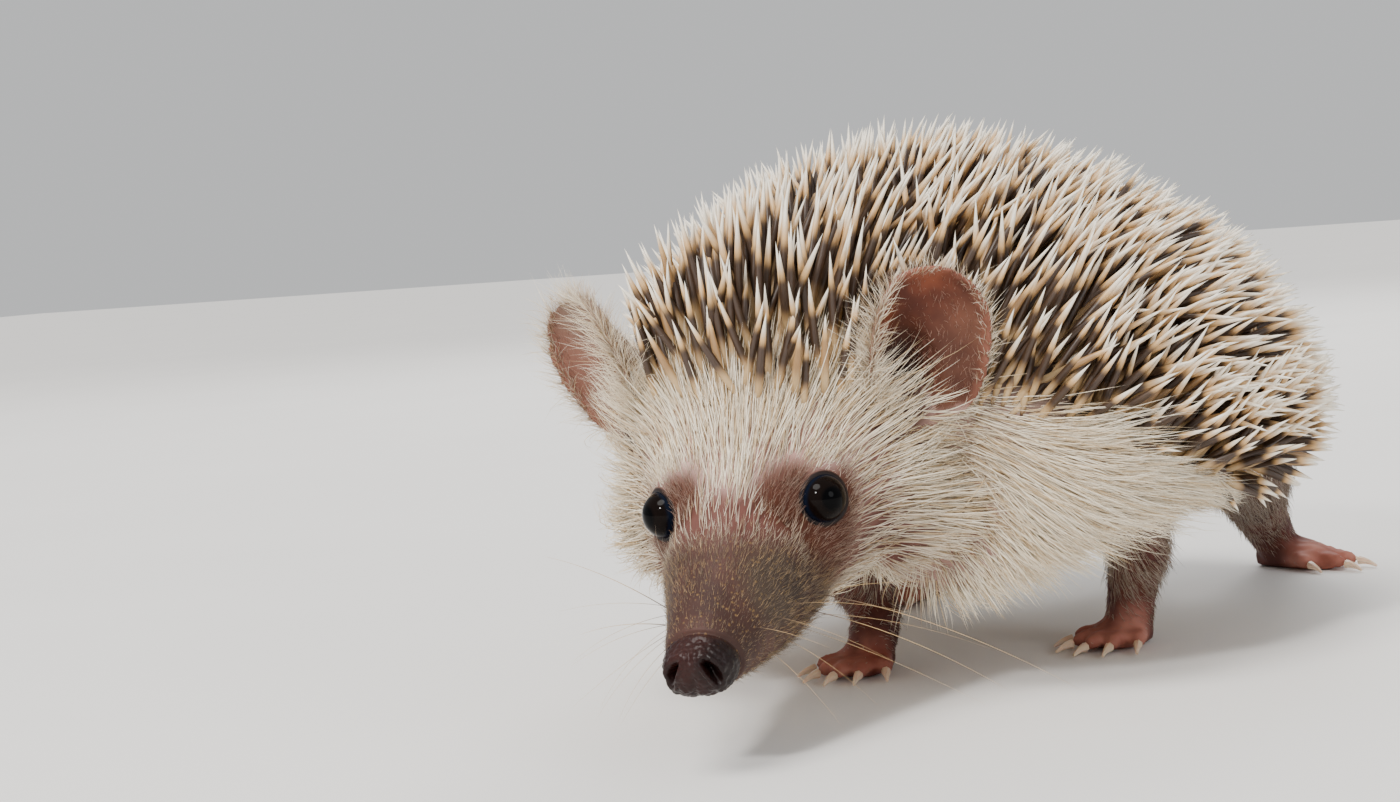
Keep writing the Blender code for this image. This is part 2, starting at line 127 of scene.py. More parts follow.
def newMesh(name, points, faces):
    # faces is a list of arrays, each with one face to a row
    mesh = bpy.data.meshes.new(name)
    mesh.vertices.add(len(points))
    mesh.vertices.foreach_set("co", (np.asarray(points) * toMetres).astype(np.float32).ravel())
    loops = np.concatenate([rows.ravel() for rows in faces]).astype(np.int32)
    sizes = np.concatenate([np.full(len(rows), rows.shape[1]) for rows in faces])
    starts = np.concatenate([[0], np.cumsum(sizes)[:-1]]).astype(np.int32)
    mesh.loops.add(len(loops))
    mesh.loops.foreach_set("vertex_index", loops)
    mesh.polygons.add(len(starts))
    mesh.polygons.foreach_set("loop_start", starts)
    mesh.update(calc_edges=True)
    mesh.validate()
    return mesh


def readArray(items, key, kind, width):
    flat = np.empty(len(items) * width, kind)
    items.foreach_get(key, flat)
    return flat.reshape(-1, width)


def pointsOf(mesh):
    return readArray(mesh.vertices, "co", np.float32, 3).astype(float) / toMetres


def normalsOf(mesh):
    return readArray(mesh.vertex_normals, "vector", np.float32, 3).astype(float)


def edgesOf(mesh):
    return readArray(mesh.edges, "vertices", np.int32, 2)


def setPoints(mesh, points):
    mesh.vertices.foreach_set("co", (points * toMetres).astype(np.float32).ravel())
    mesh.update()


def setAttribute(mesh, name, values):
    attribute = mesh.attributes.new(name, "FLOAT", "POINT")
    attribute.data.foreach_set("value", values.astype(np.float32))


def showing(mesh, name):
    obj = bpy.data.objects.new(name, mesh)
    bpy.context.scene.collection.objects.link(obj)
    return obj


def withModifier(mesh, kind, **settings):
    # a new mesh: this one after one modifier
    obj = showing(mesh, "work")
    if "vertex_group" in settings:
        group = obj.vertex_groups.new(name="share")
        for weight in range(11):
            members = np.nonzero(np.round(settings["vertex_group"] * 10) == weight)[0].tolist()
            group.add(members, weight / 10, "REPLACE")
        settings["vertex_group"] = "share"
    modifier = obj.modifiers.new(kind, kind)
    for key, value in settings.items():
        setattr(modifier, key, value)
    made = bpy.data.meshes.new_from_object(obj.evaluated_get(bpy.context.evaluated_depsgraph_get()))
    bpy.data.objects.remove(obj)
    return made


def remeshed(mesh, voxel):
    return withModifier(mesh, "REMESH", mode="VOXEL", voxel_size=voxel * toMetres)


def neighbourSum(values, edges):
    # for each point, the sum over the points that share an edge with it
    if values.ndim == 2:
        return np.stack([neighbourSum(column, edges) for column in values.T], 1)
    a, b = edges.T
    return np.bincount(a, values[b], len(values)) + np.bincount(b, values[a], len(values))


def linkCount(count, edges):
    return np.maximum(neighbourSum(np.ones(count), edges), 1)


def relaxed(points, edges, weights, rounds):
    # draws each point towards the middle of its neighbours
    links = linkCount(len(points), edges)[:, None]
    for _ in range(rounds):
        points = points + weights[:, None] * (neighbourSum(points, edges) / links - points)
    return points


def spread(values, edges, rounds):
    # evens values out over neighbouring points
    links = linkCount(len(values), edges)
    for _ in range(rounds):
        values = 0.5 * values + 0.5 * neighbourSum(values, edges) / links
    return values


def tubeQuads(rings, sides):
    # numbers of the places on a tube's rings, of the places beside them, and the quads between
    index = np.arange(rings * sides).reshape(rings, sides)
    after = np.roll(index, -1, 1)
    return index, after, np.stack([index[:-1], after[:-1], after[1:], index[1:]], -1).reshape(-1, 4)


def treeOf(mesh):
    return BVHTree.FromPolygons([v.co.copy() for v in mesh.vertices], [p.vertices[:] for p in mesh.polygons])


def gapTo(points, names):
    # distance to the nearest of some CAD nodes, looked for within reach of their boxes
    reach = 9
    gaps = np.full(len(points), 9e9)
    for name in names:
        low, high = [np.array(corner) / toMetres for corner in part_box(name)]
        near = np.all((points > low - reach) & (points < high + reach), axis=1)
        tree = treeOf(nodes[name].data)
        for i in np.nonzero(near)[0]:
            gaps[i] = min(gaps[i], tree.find_nearest(Vector(points[i] * toMetres))[3] / toMetres)
    return gaps


def eyeGap(points):
    return np.minimum(*[np.linalg.norm(points - eye, axis=1) for eye in (leftEye, rightEye)])


# Where each kind of coat grows
coatZones = {
    "spineLineY": [-45, -29, -20, -9, 3, 20, 62],  # along the body, nose to rump
    "spineLineZ": [36, 33.5, 28.0, 23.0, 19.6, 19.2, 18.0],  # height where the spines begin
    "browForward": -6.0,  # spines start this far behind the eyes
    "browSweep": 0.0150,  # and further back to each side
    "earSide": 14.5,  # no spines further out than this, in front of the ears
    "earBack": 18.0,
}


def browLine(side):
    return coatZones["browForward"] - coatZones["browSweep"] * side**2


def spineDepth(points):
    # how far inside the spiny mantle a place is; negative is outside it
    head = toHead(points)
    line = np.interp(points[:, 1], coatZones["spineLineY"], coatZones["spineLineZ"])
    side = np.minimum(np.abs(head[:, 0]), 20)
    depth = np.minimum(points[:, 2] - line, browLine(side) - head[:, 1])
    # soft hair only, in front of the ears
    return np.minimum(depth, np.maximum(coatZones["earSide"] - side, -coatZones["earBack"] - head[:, 1]))


def facingOut(normals):
    # 0 on the underside of the body
    return ramp(normals[:, 2], -0.75, -0.4)


def faceShare(points):
    # 1 on the face and muzzle, 0 on the body
    head = toHead(points)
    return ramp(head[:, 1] + 0.02 * np.minimum(head[:, 0] ** 2, 250), -16, -8)


earPlan = {
    "length": 18.5,
    "width": 14.0,
    "thickness": 0.95,
    "curl": 1.0,
    "hollow": 2.2,  # how far back the cup is set
    "deep": 2.6,  # depth of the opening, which the skin also paints dark as shade
    "roll": 0.6,  # height of the rolled rim
    "upward": (0.12, -0.05, 0.98),
    # side of the head, middle of the ear and the way its hollow faces, on the head's axes
    "left": (1, (20.2, -13.7, 9.4), (0.47, 0.85, 0.10)),
    "right": (-1, (18.0, -15.0, 10.4), (0.60, 0.79, 0.10)),
    # folds: height, place across, its slant, place up the ear, width, length
    "folds": [(0.7, -0.5, 0.3, 0.32, 0.02, 0.05), (0.5, 0.35, 0.0, 0.25, 0.02, 0.03)],
    "ridge": 0.7,
    "middleSheet": 0.45,  # depth of the ear's middle behind its hollow face
}


def earHollow(share, across):
    # 1 in the ear's opening, which lies low and on the inner side and whose skin is painted dark as shade
    return np.exp(-(((((across + 0.36) / 0.44) ** 2 + ((share - 0.27) / 0.34) ** 2)) ** 2))


def earPoints(side, share, across, depth):
    # share up the ear, across from -1 to 1, depth behind its hollow face
    sign, middle, look = earPlan[side]
    upward = unit(earPlan["upward"])
    look = np.array(look)
    facing = unit(look - upward * (look @ upward))
    outward = np.cross(facing, upward)
    angle = math.pi * (0.06 + 0.94 * share)
    wavy = 1 + 0.03 * np.sin(9 * share + 2 * across)
    half = earPlan["width"] / 2 * np.maximum(np.sin(angle), 0) ** 0.75 * wavy
    bend = across * earPlan["curl"]
    cup = (1 - np.cos(bend)) * half * 0.8 + 1.2 * share**2
    fold = 0
    for height, place, slant, up, width, length in earPlan["folds"]:
        fold += height * np.exp(-((across - place - slant * share) ** 2 / width + (share - up) ** 2 / length))
    ridge = np.exp(-((across - 0.22) ** 2) / 0.03) * ramp(share, 0.02, 0.15) * ramp(share, 0.62, 0.45)
    fold += earPlan["ridge"] * ridge - earPlan["deep"] * earHollow(share, across)
    fold += earPlan["roll"] * ramp(np.maximum(np.abs(across), share), 0.80, 1.0) * ramp(share, 0.2, 0.5)
    place = (
        np.array(middle)
        - upward * (earPlan["length"] / 2 * np.cos(angle))[..., None]
        + outward * (half * np.sin(bend) / math.sin(earPlan["curl"]))[..., None]
        + facing * (cup + fold - earPlan["hollow"] - depth)[..., None]
    )
    return fromHead(place * [sign, 1, 1])


def earGrid(rows, columns, top):
    return np.meshgrid(np.linspace(0, top, rows), np.linspace(-1, 1, columns), indexing="ij")


def earMesh(side):
    # a closed cupped shell with a rounded rim
    rows, columns = 44, 40
    share, across = earGrid(rows, columns, 0.985)
    edge = np.maximum(np.abs(across), share)
    rim = np.clip(1 - edge**14, 0.3, 1) ** 0.5 * (1 + 0.55 * bell(edge, 0.91, 0.06))
    half = earPlan["thickness"] / 2 * rim
    front = earPoints(side, share, across, earPlan["middleSheet"] - half)
    back = earPoints(side, share, across, earPlan["middleSheet"] + half)
    points = np.concatenate([front.reshape(-1, 3), back.reshape(-1, 3)])
    index = np.arange(rows * columns).reshape(rows, columns)
    quads = np.stack([index[:-1, :-1], index[:-1, 1:], index[1:, 1:], index[1:, :-1]], -1).reshape(-1, 4)
    edge = np.concatenate([index[:-1, 0], index[-1, :-1], index[:0:-1, -1], index[0, :0:-1]])
    after = np.roll(edge, -1)
    offset = rows * columns
    sides = np.stack([edge, after, after + offset, edge + offset], -1)
    return newMesh("ear", points, [quads, quads[:, ::-1] + offset, sides])


def earPlaces(points):
    # gap to the ears' middle sheet, then share, across and which face is nearest
    share, across = earGrid(60, 40, 1)
    found = np.zeros((4, len(points)))
    found[0] = 99.0
    for side in ("left", "right"):
        sheet = earPoints(side, share, across, earPlan["middleSheet"]).reshape(-1, 3)
        ahead = unit(earPoints(side, share, across, 0.0).reshape(-1, 3) - sheet)
        near = np.nonzero(np.all((points > sheet.min(0) - 3) & (points < sheet.max(0) + 3), axis=1))[0]
        for part in np.array_split(near, max(1, len(near) // 4000)):
            gaps = np.linalg.norm(points[part][:, None] - sheet[None], axis=2)
            best = gaps.argmin(1)
            gap = gaps[np.arange(len(part)), best]
            front = np.einsum("ij,ij->i", points[part] - sheet[best], ahead[best])
            places = np.stack([gap, share.ravel()[best], across.ravel()[best], front])
            closer = gap < found[0, part]
            found[:, part[closer]] = places[:, closer]
    return found


def capsule(path, radii, sides=24):
    # a closed tube with rounded ends through a few places
    path = np.array(path, float)
    radii = np.array(radii, float)
    t = np.linspace(0, len(path) - 1, 14)
    centres = np.stack([np.interp(t, range(len(path)), path[:, k]) for k in range(3)], 1)
    sizes = np.interp(t, range(len(path)), radii)
    ahead = unit(np.gradient(centres, axis=0))
    side = unit(np.cross(ahead, [0.31, 0.17, 0.93]))
    other = np.cross(ahead, side)
    turn = np.linspace(0, 2 * math.pi, sides, endpoint=False)
    ring = side[:, None] * np.cos(turn)[None, :, None] + other[:, None] * np.sin(turn)[None, :, None]
    points = (centres[:, None] + ring * sizes[:, None, None]).reshape(-1, 3)
    swell = ahead[[0, -1]] * radii[[0, -1], None] * 0.6 * [[-1], [1]]
    index, after, quads = tubeQuads(len(t), sides)
    first = np.full(sides, len(points))
    caps = np.stack([[after[0], index[0], first], [index[-1], after[-1], first + 1]])
    caps = caps.transpose(0, 2, 1).reshape(-1, 3)
    return newMesh("capsule", np.concatenate([points, centres[[0, -1]] + swell]), [quads, caps])


limbNames = ["front_left", "front_right", "hind_left", "hind_right"]
frontLegs = ["leg_front_left", "leg_front_right"]
limbNodes = ["leg_" + name for name in limbNames] + ["foot_" + name for name in limbNames] + ["tail"]
fleshNodes = ["trunk", "neck", "head", "nose", "ear_left", "ear_right"] + limbNodes
clawNodes = [name for name in nodes if name.startswith("claw")]

skinPlan = {
    "voxel": 0.5,
    "fineVoxel": 0.42,
    "underSpines": 9.5,  # depths of the skin under each kind of coat
    "underFlankHair": 4.0,
    "underFaceHair": 1.5,
    "aroundEyes": 0.3,
    "muzzle": 0.15,
    "onLimbs": 0.1,
    "tuck": 5.0,  # lift of the belly line round the front legs
    "most": 150000,  # triangles, before the face is made finer
    # loose skin that fills the valley between cheek and chest, on the head's axes
    "cheekPath": [(9.5, -9.5, -12.0), (13.5, -13.5, -11.5), (16.5, -17.5, -8.5)],
    "cheekRadii": [4.8, 5.2, 5.4],
    # how high the crown of the skull may stand, from the neck to the brow
    "crownForward": [-32, -25, -20, -15, -10, -5, -2],
    "crownHeight": [15.8, 15.4, 14.8, 13.6, 11.6, 9.2, 8.0],
    "crownRound": 0.026,
}


def joined(sources):
    # one mesh from meshes, each grown a little so that neighbours meet
    shape = bmesh.new()
    for mesh, grow in sources:
        part = bmesh.new()
        part.from_mesh(mesh)
        bmesh.ops.remove_doubles(part, verts=part.verts, dist=2e-6)
        bmesh.ops.recalc_face_normals(part, faces=part.faces)
        part.normal_update()
        for vert in part.verts:
            vert.co += vert.normal * grow * toMetres
        copy = bpy.data.meshes.new("copy")
        part.to_mesh(copy)
        part.free()
        shape.from_mesh(copy)
        bpy.data.meshes.remove(copy)
    mesh = bpy.data.meshes.new("flesh")
    shape.to_mesh(mesh)
    shape.free()
    return mesh


def bodySurface():
    grow = {"nose": 0.2, "tail": 0.1, "foot": 0.05}
    sources = []
    for name in fleshNodes:
        kind = name.split("_")[0]
        if kind != "ear":
            sources.append((nodes[name].data, grow.get(kind, 0.25)))
    sources += [(nodes["eye_left"].data, 0.2), (nodes["eye_right"].data, 0.2)]
    for sign in (1, -1):
        path = np.array(skinPlan["cheekPath"]) * [sign, 1, 1]
        sources.append((capsule(fromHead(path), skinPlan["cheekRadii"]), 0.0))
    return remeshed(joined(sources), skinPlan["voxel"])


def limbShare(points, start, end):
    # 1 on the legs, feet and tail, by how much nearer they are than the trunk
    share = np.zeros(len(points))
    low = np.nonzero(points[:, 2] < 30)[0]
    limb = gapTo(points[low], limbNodes)
    trunk = gapTo(points[low], ["trunk", "neck"])
    share[low] = np.where(limb < 4, ramp(trunk - limb, start, end), 0)
    return share


def loweredCrown(points):
    # the crown of the skull lies well under its upright spines
    head = toHead(points)
    crown = np.interp(head[:, 1], skinPlan["crownForward"], skinPlan["crownHeight"])
    crown = crown - skinPlan["crownRound"] * head[:, 0] ** 2
    over = np.maximum(head[:, 2] - crown, 0) * ramp(head[:, 1], -34, -26) * ramp(head[:, 1], -1, -4)
    head[:, 2] -= over * ramp(np.abs(head[:, 0]), 22, 15)
    return fromHead(head)


def insetSkin(mesh):
    # draws the flesh in under the coat, by the depth of each kind
    points = pointsOf(mesh)
    edges = edgesOf(mesh)
    head = toHead(points)
    face = faceShare(points)
    limbs = spread(limbShare(points, -0.1, 0.5), edges, 4)
    body = (1 - face) * (1 - limbs)
    points = relaxed(points, edges, 0.6 * np.clip(body + 0.06 * face * ramp(head[:, 1], 18, 12), 0, 1), 30)
    setPoints(mesh, points)
    normals = normalsOf(mesh)
    spiny = ramp(spineDepth(points), -5, 5)
    gap = eyeGap(points)
    onFace = skinPlan["underFaceHair"] * ramp(head[:, 1], 9, 1)
    onFace = skinPlan["muzzle"] + onFace * ramp(gap, 3.5, 8) + skinPlan["aroundEyes"] * ramp(gap, 9, 4)
    under = skinPlan["underFlankHair"] * (1 - 0.65 * ramp(-normals[:, 2], 0.15, 0.8))
    onBody = under * (1 - spiny) + skinPlan["underSpines"] * spiny
    depth = (1 - limbs) * (onFace * face + onBody * (1 - face)) + skinPlan["onLimbs"] * limbs
    depth = spread(depth, edges, 14)
    points = loweredCrown(points - normals * depth[:, None])
    near = ramp(points[:, 2], 24, 12) * ramp(points[:, 1], -34, -22) * ramp(points[:, 1], 22, 11)
    points[:, 2] += skinPlan["tuck"] * near * (1 - limbs) * (1 - face)
    setPoints(mesh, relaxed(points, edges, 0.5 * body, 12))
    return mesh


def thinned(mesh):
    # fewer faces where hair and spines hide the skin
    points = pointsOf(mesh)
    near = ramp(toHead(points)[:, 1], -14, -9)
    near = np.maximum(near, ramp(points[:, 2], 12, 9) * (gapTo(points, limbNodes) < 2))
    near = np.maximum(near, earPlaces(points)[0] < 2.5)
    ratio = skinPlan["most"] / (2 * len(mesh.polygons))
    return withModifier(mesh, "DECIMATE", ratio=ratio, vertex_group=np.where(near > 0.2, 0.0, 1.0))


eyePlan = {
    "radius": 2.66,
    "swell": 0.035,  # over the pupil
    "outward": (0.68, 0.68, 0.28),  # where the left eye looks, on the head's axes
    "along": (-0.35, 0.93, -0.28),  # the long way of the opening
    "opening": 78,  # degrees from the middle of the eye to the edge of a lid
    "cut": 88,
    "slit": 0.04,  # how much longer the opening is along the head
    "lidThickness": 0.32,
    "lidFolds": [(-0.16, 0.55, 0.12), (0.10, 0.8, 0.1)],  # height, place and width of each
    "rings": 10,
    # the lid's edge: degrees inside the opening, and height in lid thicknesses
    "lidEdge": [(1.6, 0.9), (3.4, 0.62), (4.4, 0.25), (4.8, -0.3), (5.2, -1.6)],
    "mesh": (48, 72),  # rings and sides of the ball
}


def eyeAxes(sign):
    outward = unit(np.array(eyePlan["outward"]) * [sign, 1, 1])
    slit = np.array(eyePlan["along"]) * [sign, 1, 1]
    slit = unit(slit - outward * (slit @ outward))
    return np.stack([slit, np.cross(outward, slit), outward]) @ headAxes


def onBall(theta, phi):
    # directions at theta from a ball's axis and phi round it
    around = [np.sin(theta) * np.cos(phi), np.sin(theta) * np.sin(phi), np.cos(theta) * np.ones_like(phi)]
    return np.stack(around, -1)


def openRim(shape, centre):
    # the points round the hole for an eye, in order, and whether the face beside them runs that way
    reach = 8 * toMetres
    rim = [edge for edge in shape.edges if edge.is_boundary and (edge.verts[0].co - centre).length < reach]
    loop = list(rim[0].verts)
    left = set(rim[1:])
    while left:
        step = next((edge for edge in left if loop[-1] in edge.verts), None)
        if step is None:
            break
        left.discard(step)
        following = step.other_vert(loop[-1])
        if following is loop[0]:
            break
        loop.append(following)
    order = [corner.vert for corner in rim[0].link_faces[0].loops]
    return loop, order[(order.index(loop[0]) + 1) % len(order)] is loop[1]


def lidSteps(theta, phi, reach):
    # angle, height and share of each ring of a lid, from the skin to behind its edge
    edge = eyePlan["opening"] * (1 + eyePlan["slit"] * np.cos(2 * phi))
    thick = eyePlan["lidThickness"]
    steps = []
    for share in np.arange(1, eyePlan["rings"] + 1) / eyePlan["rings"]:
        blend = ramp(share, 0, 0.9)
        fold = sum(height * bell(share, place, width) for height, place, width in eyePlan["lidFolds"])
        height = reach * (1 - blend) + (eyePlan["radius"] + thick) * blend + fold
        steps.append((theta + (edge - theta) * share, height, share))
    for turn, height in eyePlan["lidEdge"]:
        steps.append((edge - turn, np.full(len(phi), eyePlan["radius"] + thick * height), 1.0))
    return steps


def openLids(shape, centre, sign):
    # takes the skin off the eye and closes it again with rings that make the lids
    axes = eyeAxes(sign)
    middle = Vector(centre * toMetres)
    cut = math.cos(math.radians(eyePlan["cut"]))

    def local(vert):
        return (np.array(vert.co) / toMetres - centre) @ axes.T

    inside = []
    for vert in shape.verts:
        if (vert.co - middle).length < 6.5 * toMetres:
            place = local(vert)
            if place[2] > cut * np.linalg.norm(place):
                inside.append(vert)
    bmesh.ops.delete(shape, geom=inside, context="VERTS")
    loop, forward = openRim(shape, middle)
    starts = np.array([local(vert) for vert in loop])
    reach = np.linalg.norm(starts, axis=1)
    theta = np.degrees(np.arccos(np.clip(starts[:, 2] / reach, -1, 1)))
    phi = np.unwrap(np.arctan2(starts[:, 1], starts[:, 0]))
    turn = math.copysign(2 * math.pi, phi[-1] - phi[0])
    even = np.linspace(phi[0], phi[0] + turn, len(loop), endpoint=False)

    def addFace(*corners):
        shape.faces.new(corners[::-1] if forward else corners)

    previous = loop
    for angle, height, share in lidSteps(theta, phi, reach):
        flat = onBall(np.radians(angle), phi * (1 - share) + even * share)
        places = centre + (flat * height[:, None]) @ axes
        ring = [shape.verts.new(Vector(place * toMetres)) for place in places]
        for i in range(len(ring)):
            j = (i + 1) % len(ring)
            addFace(previous[i], previous[j], ring[j], ring[i])
        previous = ring
    cap = shape.verts.new(Vector((centre + axes[2] * eyePlan["radius"] * 0.5) * toMetres))
    for i in range(len(previous)):
        addFace(previous[i], previous[(i + 1) % len(previous)], cap)


def eyeBall(name, centre, sign, node):
    # a smooth ball with a slight swell over the pupil
    axes = eyeAxes(sign)
    rings, sides = eyePlan["mesh"]
    theta = np.linspace(0, math.pi, rings)[1:-1]
    phi = np.linspace(0, 2 * math.pi, sides, endpoint=False)
    radius = eyePlan["radius"] * (1 + eyePlan["swell"] * bell(theta, 0, 0.7))
    flat = onBall(theta[:, None], phi) * radius[:, None, None]
    poles = np.array([[0, 0, eyePlan["radius"] * (1 + eyePlan["swell"])], [0, 0, -eyePlan["radius"]]])
    points = centre + np.concatenate([flat.reshape(-1, 3), poles]) @ axes
    index, after, quads = tubeQuads(rings - 2, sides)
    quads = np.roll(quads[:, ::-1], 1, 1)
    front = np.full(sides, len(points) - 2)
    caps = np.stack([[index[0], after[0], front], [after[-1], index[-1], front + 1]])
    mesh = newMesh(name, points, [quads, caps.transpose(0, 2, 1).reshape(-1, 3)])
    setAttribute(mesh, "fromPupil", np.concatenate([np.repeat(np.degrees(theta), sides), [0.0, 180.0]]))
    mesh.shade_smooth()
    piece = showing(mesh, name)
    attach(piece, "root")
    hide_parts(node)
    return piece


nosePlan = {
    "padMiddle": (0, 23.4, -5.7),  # on the head's axes
    "padSize": (4.3, 3.3, 3.4),
    "padCrease": 0.30,
    "groove": 0.16,
    "pebble": 0.62,  # size of the grain on the nose pad
    "pebbleHeight": 0.10,
    "nostril": (2.2, 24.3, -5.1),
    "nostrilSize": (0.62, 1.75, 2.6),
    "nostrilComma": 0.15,
    "nostrilDepth": 1.7,
    "nostrilRim": 0.16,
    "mouth": [(0.0, 20.4, -9.3), (3.3, 17.5, -9.2), (5.3, 12.0, -9.7), (7.2, 6.5, -10.4), (8.4, 3.0, -11.2)],
    "mouthDepth": 0.6,
    "lipHeight": 0.16,
    "muzzleFolds": 0.10,
    "muzzleGrain": 0.06,
}


def fromPad(head):
    # distance from the middle of the nose pad, about 1 at its edge
    return np.linalg.norm((head - nosePlan["padMiddle"]) / nosePlan["padSize"], axis=1)


def nosePad(head):
    # 1 on the bare nose pad
    return ramp(fromPad(head), 1.12, 0.98) * ramp(head[:, 1], 20.6, 21.6)


def cells(points, size, seed):
    # distance to the nearest of scattered cell centres, about 0 to 1
    base = np.floor(points / size)
    best = np.full(len(points), 9.0)
    for shift in np.ndindex(3, 3, 3):
        corner = base + np.array(shift) - 1
        key = np.sin(corner @ np.array([127.1, 311.7, 74.7]) + seed) * 43758.5453  # a shuffled number
        jitter = np.stack([key % 1, (key * 1.7) % 1, (key * 2.3) % 1], 1)
        best = np.minimum(best, np.linalg.norm(points / size - corner - jitter, axis=1))
    return best


def lineGap(points, path):
    # distance to a bent line through a few places
    best = np.full(len(points), 99.0)
    for a, b in zip(np.array(path[:-1], float), np.array(path[1:], float)):
        t = np.clip((points - a) @ (b - a) / ((b - a) @ (b - a)), 0, 1)
        best = np.minimum(best, np.linalg.norm(points - a - t[:, None] * (b - a), axis=1))
    return best


def sculpted(points, normals):
    head = toHead(points)
    mirrored = foldedOver(head)
    pad = nosePad(head)
    rise = pad * nosePlan["pebbleHeight"] * (0.5 - cells(head, nosePlan["pebble"], 3)) * 2
    # groove down the middle of the nose, and the crease round the pad
    rise -= nosePlan["groove"] * pad * bell(head[:, 0], 0, 0.34) * ramp(head[:, 2], -4.0, -6.5)
    rise -= nosePlan["padCrease"] * bell(fromPad(head), 1.12, 0.06) * ramp(head[:, 1], 20.2, 21.4)
    # nostrils: a deep comma that runs out to the side
    place = mirrored - nosePlan["nostril"]
    wide, tall, deep = nosePlan["nostrilSize"]
    up = place[:, 2] * 0.90 - place[:, 0] * 0.43
    out = place[:, 0] * 0.90 + place[:, 2] * 0.43 + nosePlan["nostrilComma"] * up**2
    hole = np.sqrt((out / wide) ** 2 + (up / tall) ** 2 + (place[:, 1] / deep) ** 2)
    rise -= nosePlan["nostrilDepth"] * ramp(hole, 1.0, 0.45) * pad
    rise += nosePlan["nostrilRim"] * bell(hole, 1.25, 0.25) * pad
    mouth = lineGap(mirrored, nosePlan["mouth"])
    rise -= nosePlan["mouthDepth"] * bell(mouth, 0, 0.38)
    rise += nosePlan["lipHeight"] * bell(mouth, 0.95, 0.45)
    # whisker pads and loose folds on the muzzle
    muzzle = ramp(head[:, 1], 4, 10) * (1 - pad)
    waves = np.sin(head[:, 1] * 2.1 + 1.6 * np.sin(head[:, 0] * 0.5)) * ramp(head[:, 2], -3, -7)
    rise += nosePlan["muzzleFolds"] * muzzle * waves
    rise += nosePlan["muzzleGrain"] * muzzle * (0.5 - cells(head, 0.9, 7))
    return points + normals * rise[:, None]


def footFolds(points, normals):
    # creases across the toes and pads under them
    low = ramp(points[:, 2], 11, 8)
    grain = 0.5 - cells(points, 0.8, 11)
    crease = np.sin(points[:, 1] * 5.2 + 2 * np.sin(points[:, 0] * 1.3))
    return points + normals * (low * (0.10 * grain + 0.05 * crease) * ramp(points[:, 2], 0.1, 1.0))[:, None]


def keepLargest(shape):
    # the skin is one closed piece, so small loose bits are dropped
    shape.faces.index_update()
    seen = set()
    pieces = []
    for face in shape.faces:
        if face.index in seen:
            continue
        seen.add(face.index)
        piece = [face]
        for member in piece:
            for edge in member.edges:
                for other in edge.link_faces:
                    if other.index not in seen:
                        seen.add(other.index)
                        piece.append(other)
        pieces.append(piece)
    pieces.sort(key=len)
    loose = [face for piece in pieces[:-1] for face in piece]
    bmesh.ops.delete(shape, geom=loose, context="FACES")


def earRoot(side):
    # a short thick root that joins the ear to the skull
    sign, middle, _ = earPlan[side]
    root = np.array(middle) * [sign, 1, 1]
    low = fromHead(root + np.array([-sign * 1.5, -2.0, -7.0]))
    inner = fromHead(root + np.array([-sign * 9.0, -3.0, -9.0]))
    return capsule([low, inner], [2.4, 5.0])


def buildSkin(mesh):
    mesh = insetSkin(mesh)
    say("flesh drawn in under the coat")
    sources = [mesh, earMesh("left"), earMesh("right"), earRoot("left"), earRoot("right")]
    mesh = remeshed(joined([(source, 0.0) for source in sources]), skinPlan["fineVoxel"])
    points = pointsOf(mesh)
    setPoints(mesh, relaxed(points, edgesOf(mesh), 0.35 - 0.27 * ramp(points[:, 2], 7, 4), 3))
    mesh = thinned(mesh)
    say("skin joined and thinned")
    shape = bmesh.new()
    shape.from_mesh(mesh)
    eyes = [Vector(leftEye * toMetres), Vector(rightEye * toMetres)]
    nose = [Vector(fromHead(nosePlan["padMiddle"]) * toMetres)]
    for reach, centres in ((5.6, eyes), (6.2, nose), (5.2, nose)):
        # halves the edges near an eye or the nose
        picked = []
        for edge in shape.edges:
            a, b = [vert.co for vert in edge.verts]
            if any(max((a - c).length, (b - c).length) < reach * toMetres for c in centres):
                picked.append(edge)
        bmesh.ops.subdivide_edges(shape, edges=picked, cuts=1, use_grid_fill=True)
    openLids(shape, leftEye, 1)
    openLids(shape, rightEye, -1)
    keepLargest(shape)
    shape.to_mesh(mesh)
    shape.free()
    mesh.update()
    setPoints(mesh, footFolds(sculpted(pointsOf(mesh), normalsOf(mesh)), normalsOf(mesh)))
    say("face, nose and feet sculpted")
    return mesh


form = bodySurface()
formTree = treeOf(form)  # the outline that the coat fills
skinMesh = buildSkin(form)
skin = showing(skinMesh, "skin")
skinMesh.shade_smooth()
print("skin triangles", sum(len(p.vertices) - 2 for p in skinMesh.polygons))
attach(skin, "root")
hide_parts(*fleshNodes)


def layOf(points, normals):
    # the way hair lies on the skin: back from the nose, then back and down the flanks
    head = toHead(points)
    fromNose = unit(head - [0, 24, -7])
    fromNose[:, 1] -= 0.10
    fromNose[:, 2] -= 0.50 * ramp(np.abs(head[:, 0]), 9, 16)
    onFace = headTurned(unit(fromNose))
    drop = -0.55 * ramp(points[:, 2], 44, 18)
    side = np.abs(points[:, 0])
    outward = 0.16 * ramp(side, 8, 25) + 1.0 * ramp(-normals[:, 1], 0.15, 0.8)
    onBody = np.stack([outward * np.sign(points[:, 0]) * ramp(side, 0, 6), np.ones(len(points)), drop], 1)
    share = ramp(head[:, 1], -34, -12)[:, None]
    return alongSkin(onFace * share + unit(onBody) * (1 - share), normals)


def alongSkin(ways, normals):
    ways = unit(ways)
    return unit(ways - normals * np.einsum("ij,ij->i", ways, normals)[:, None])


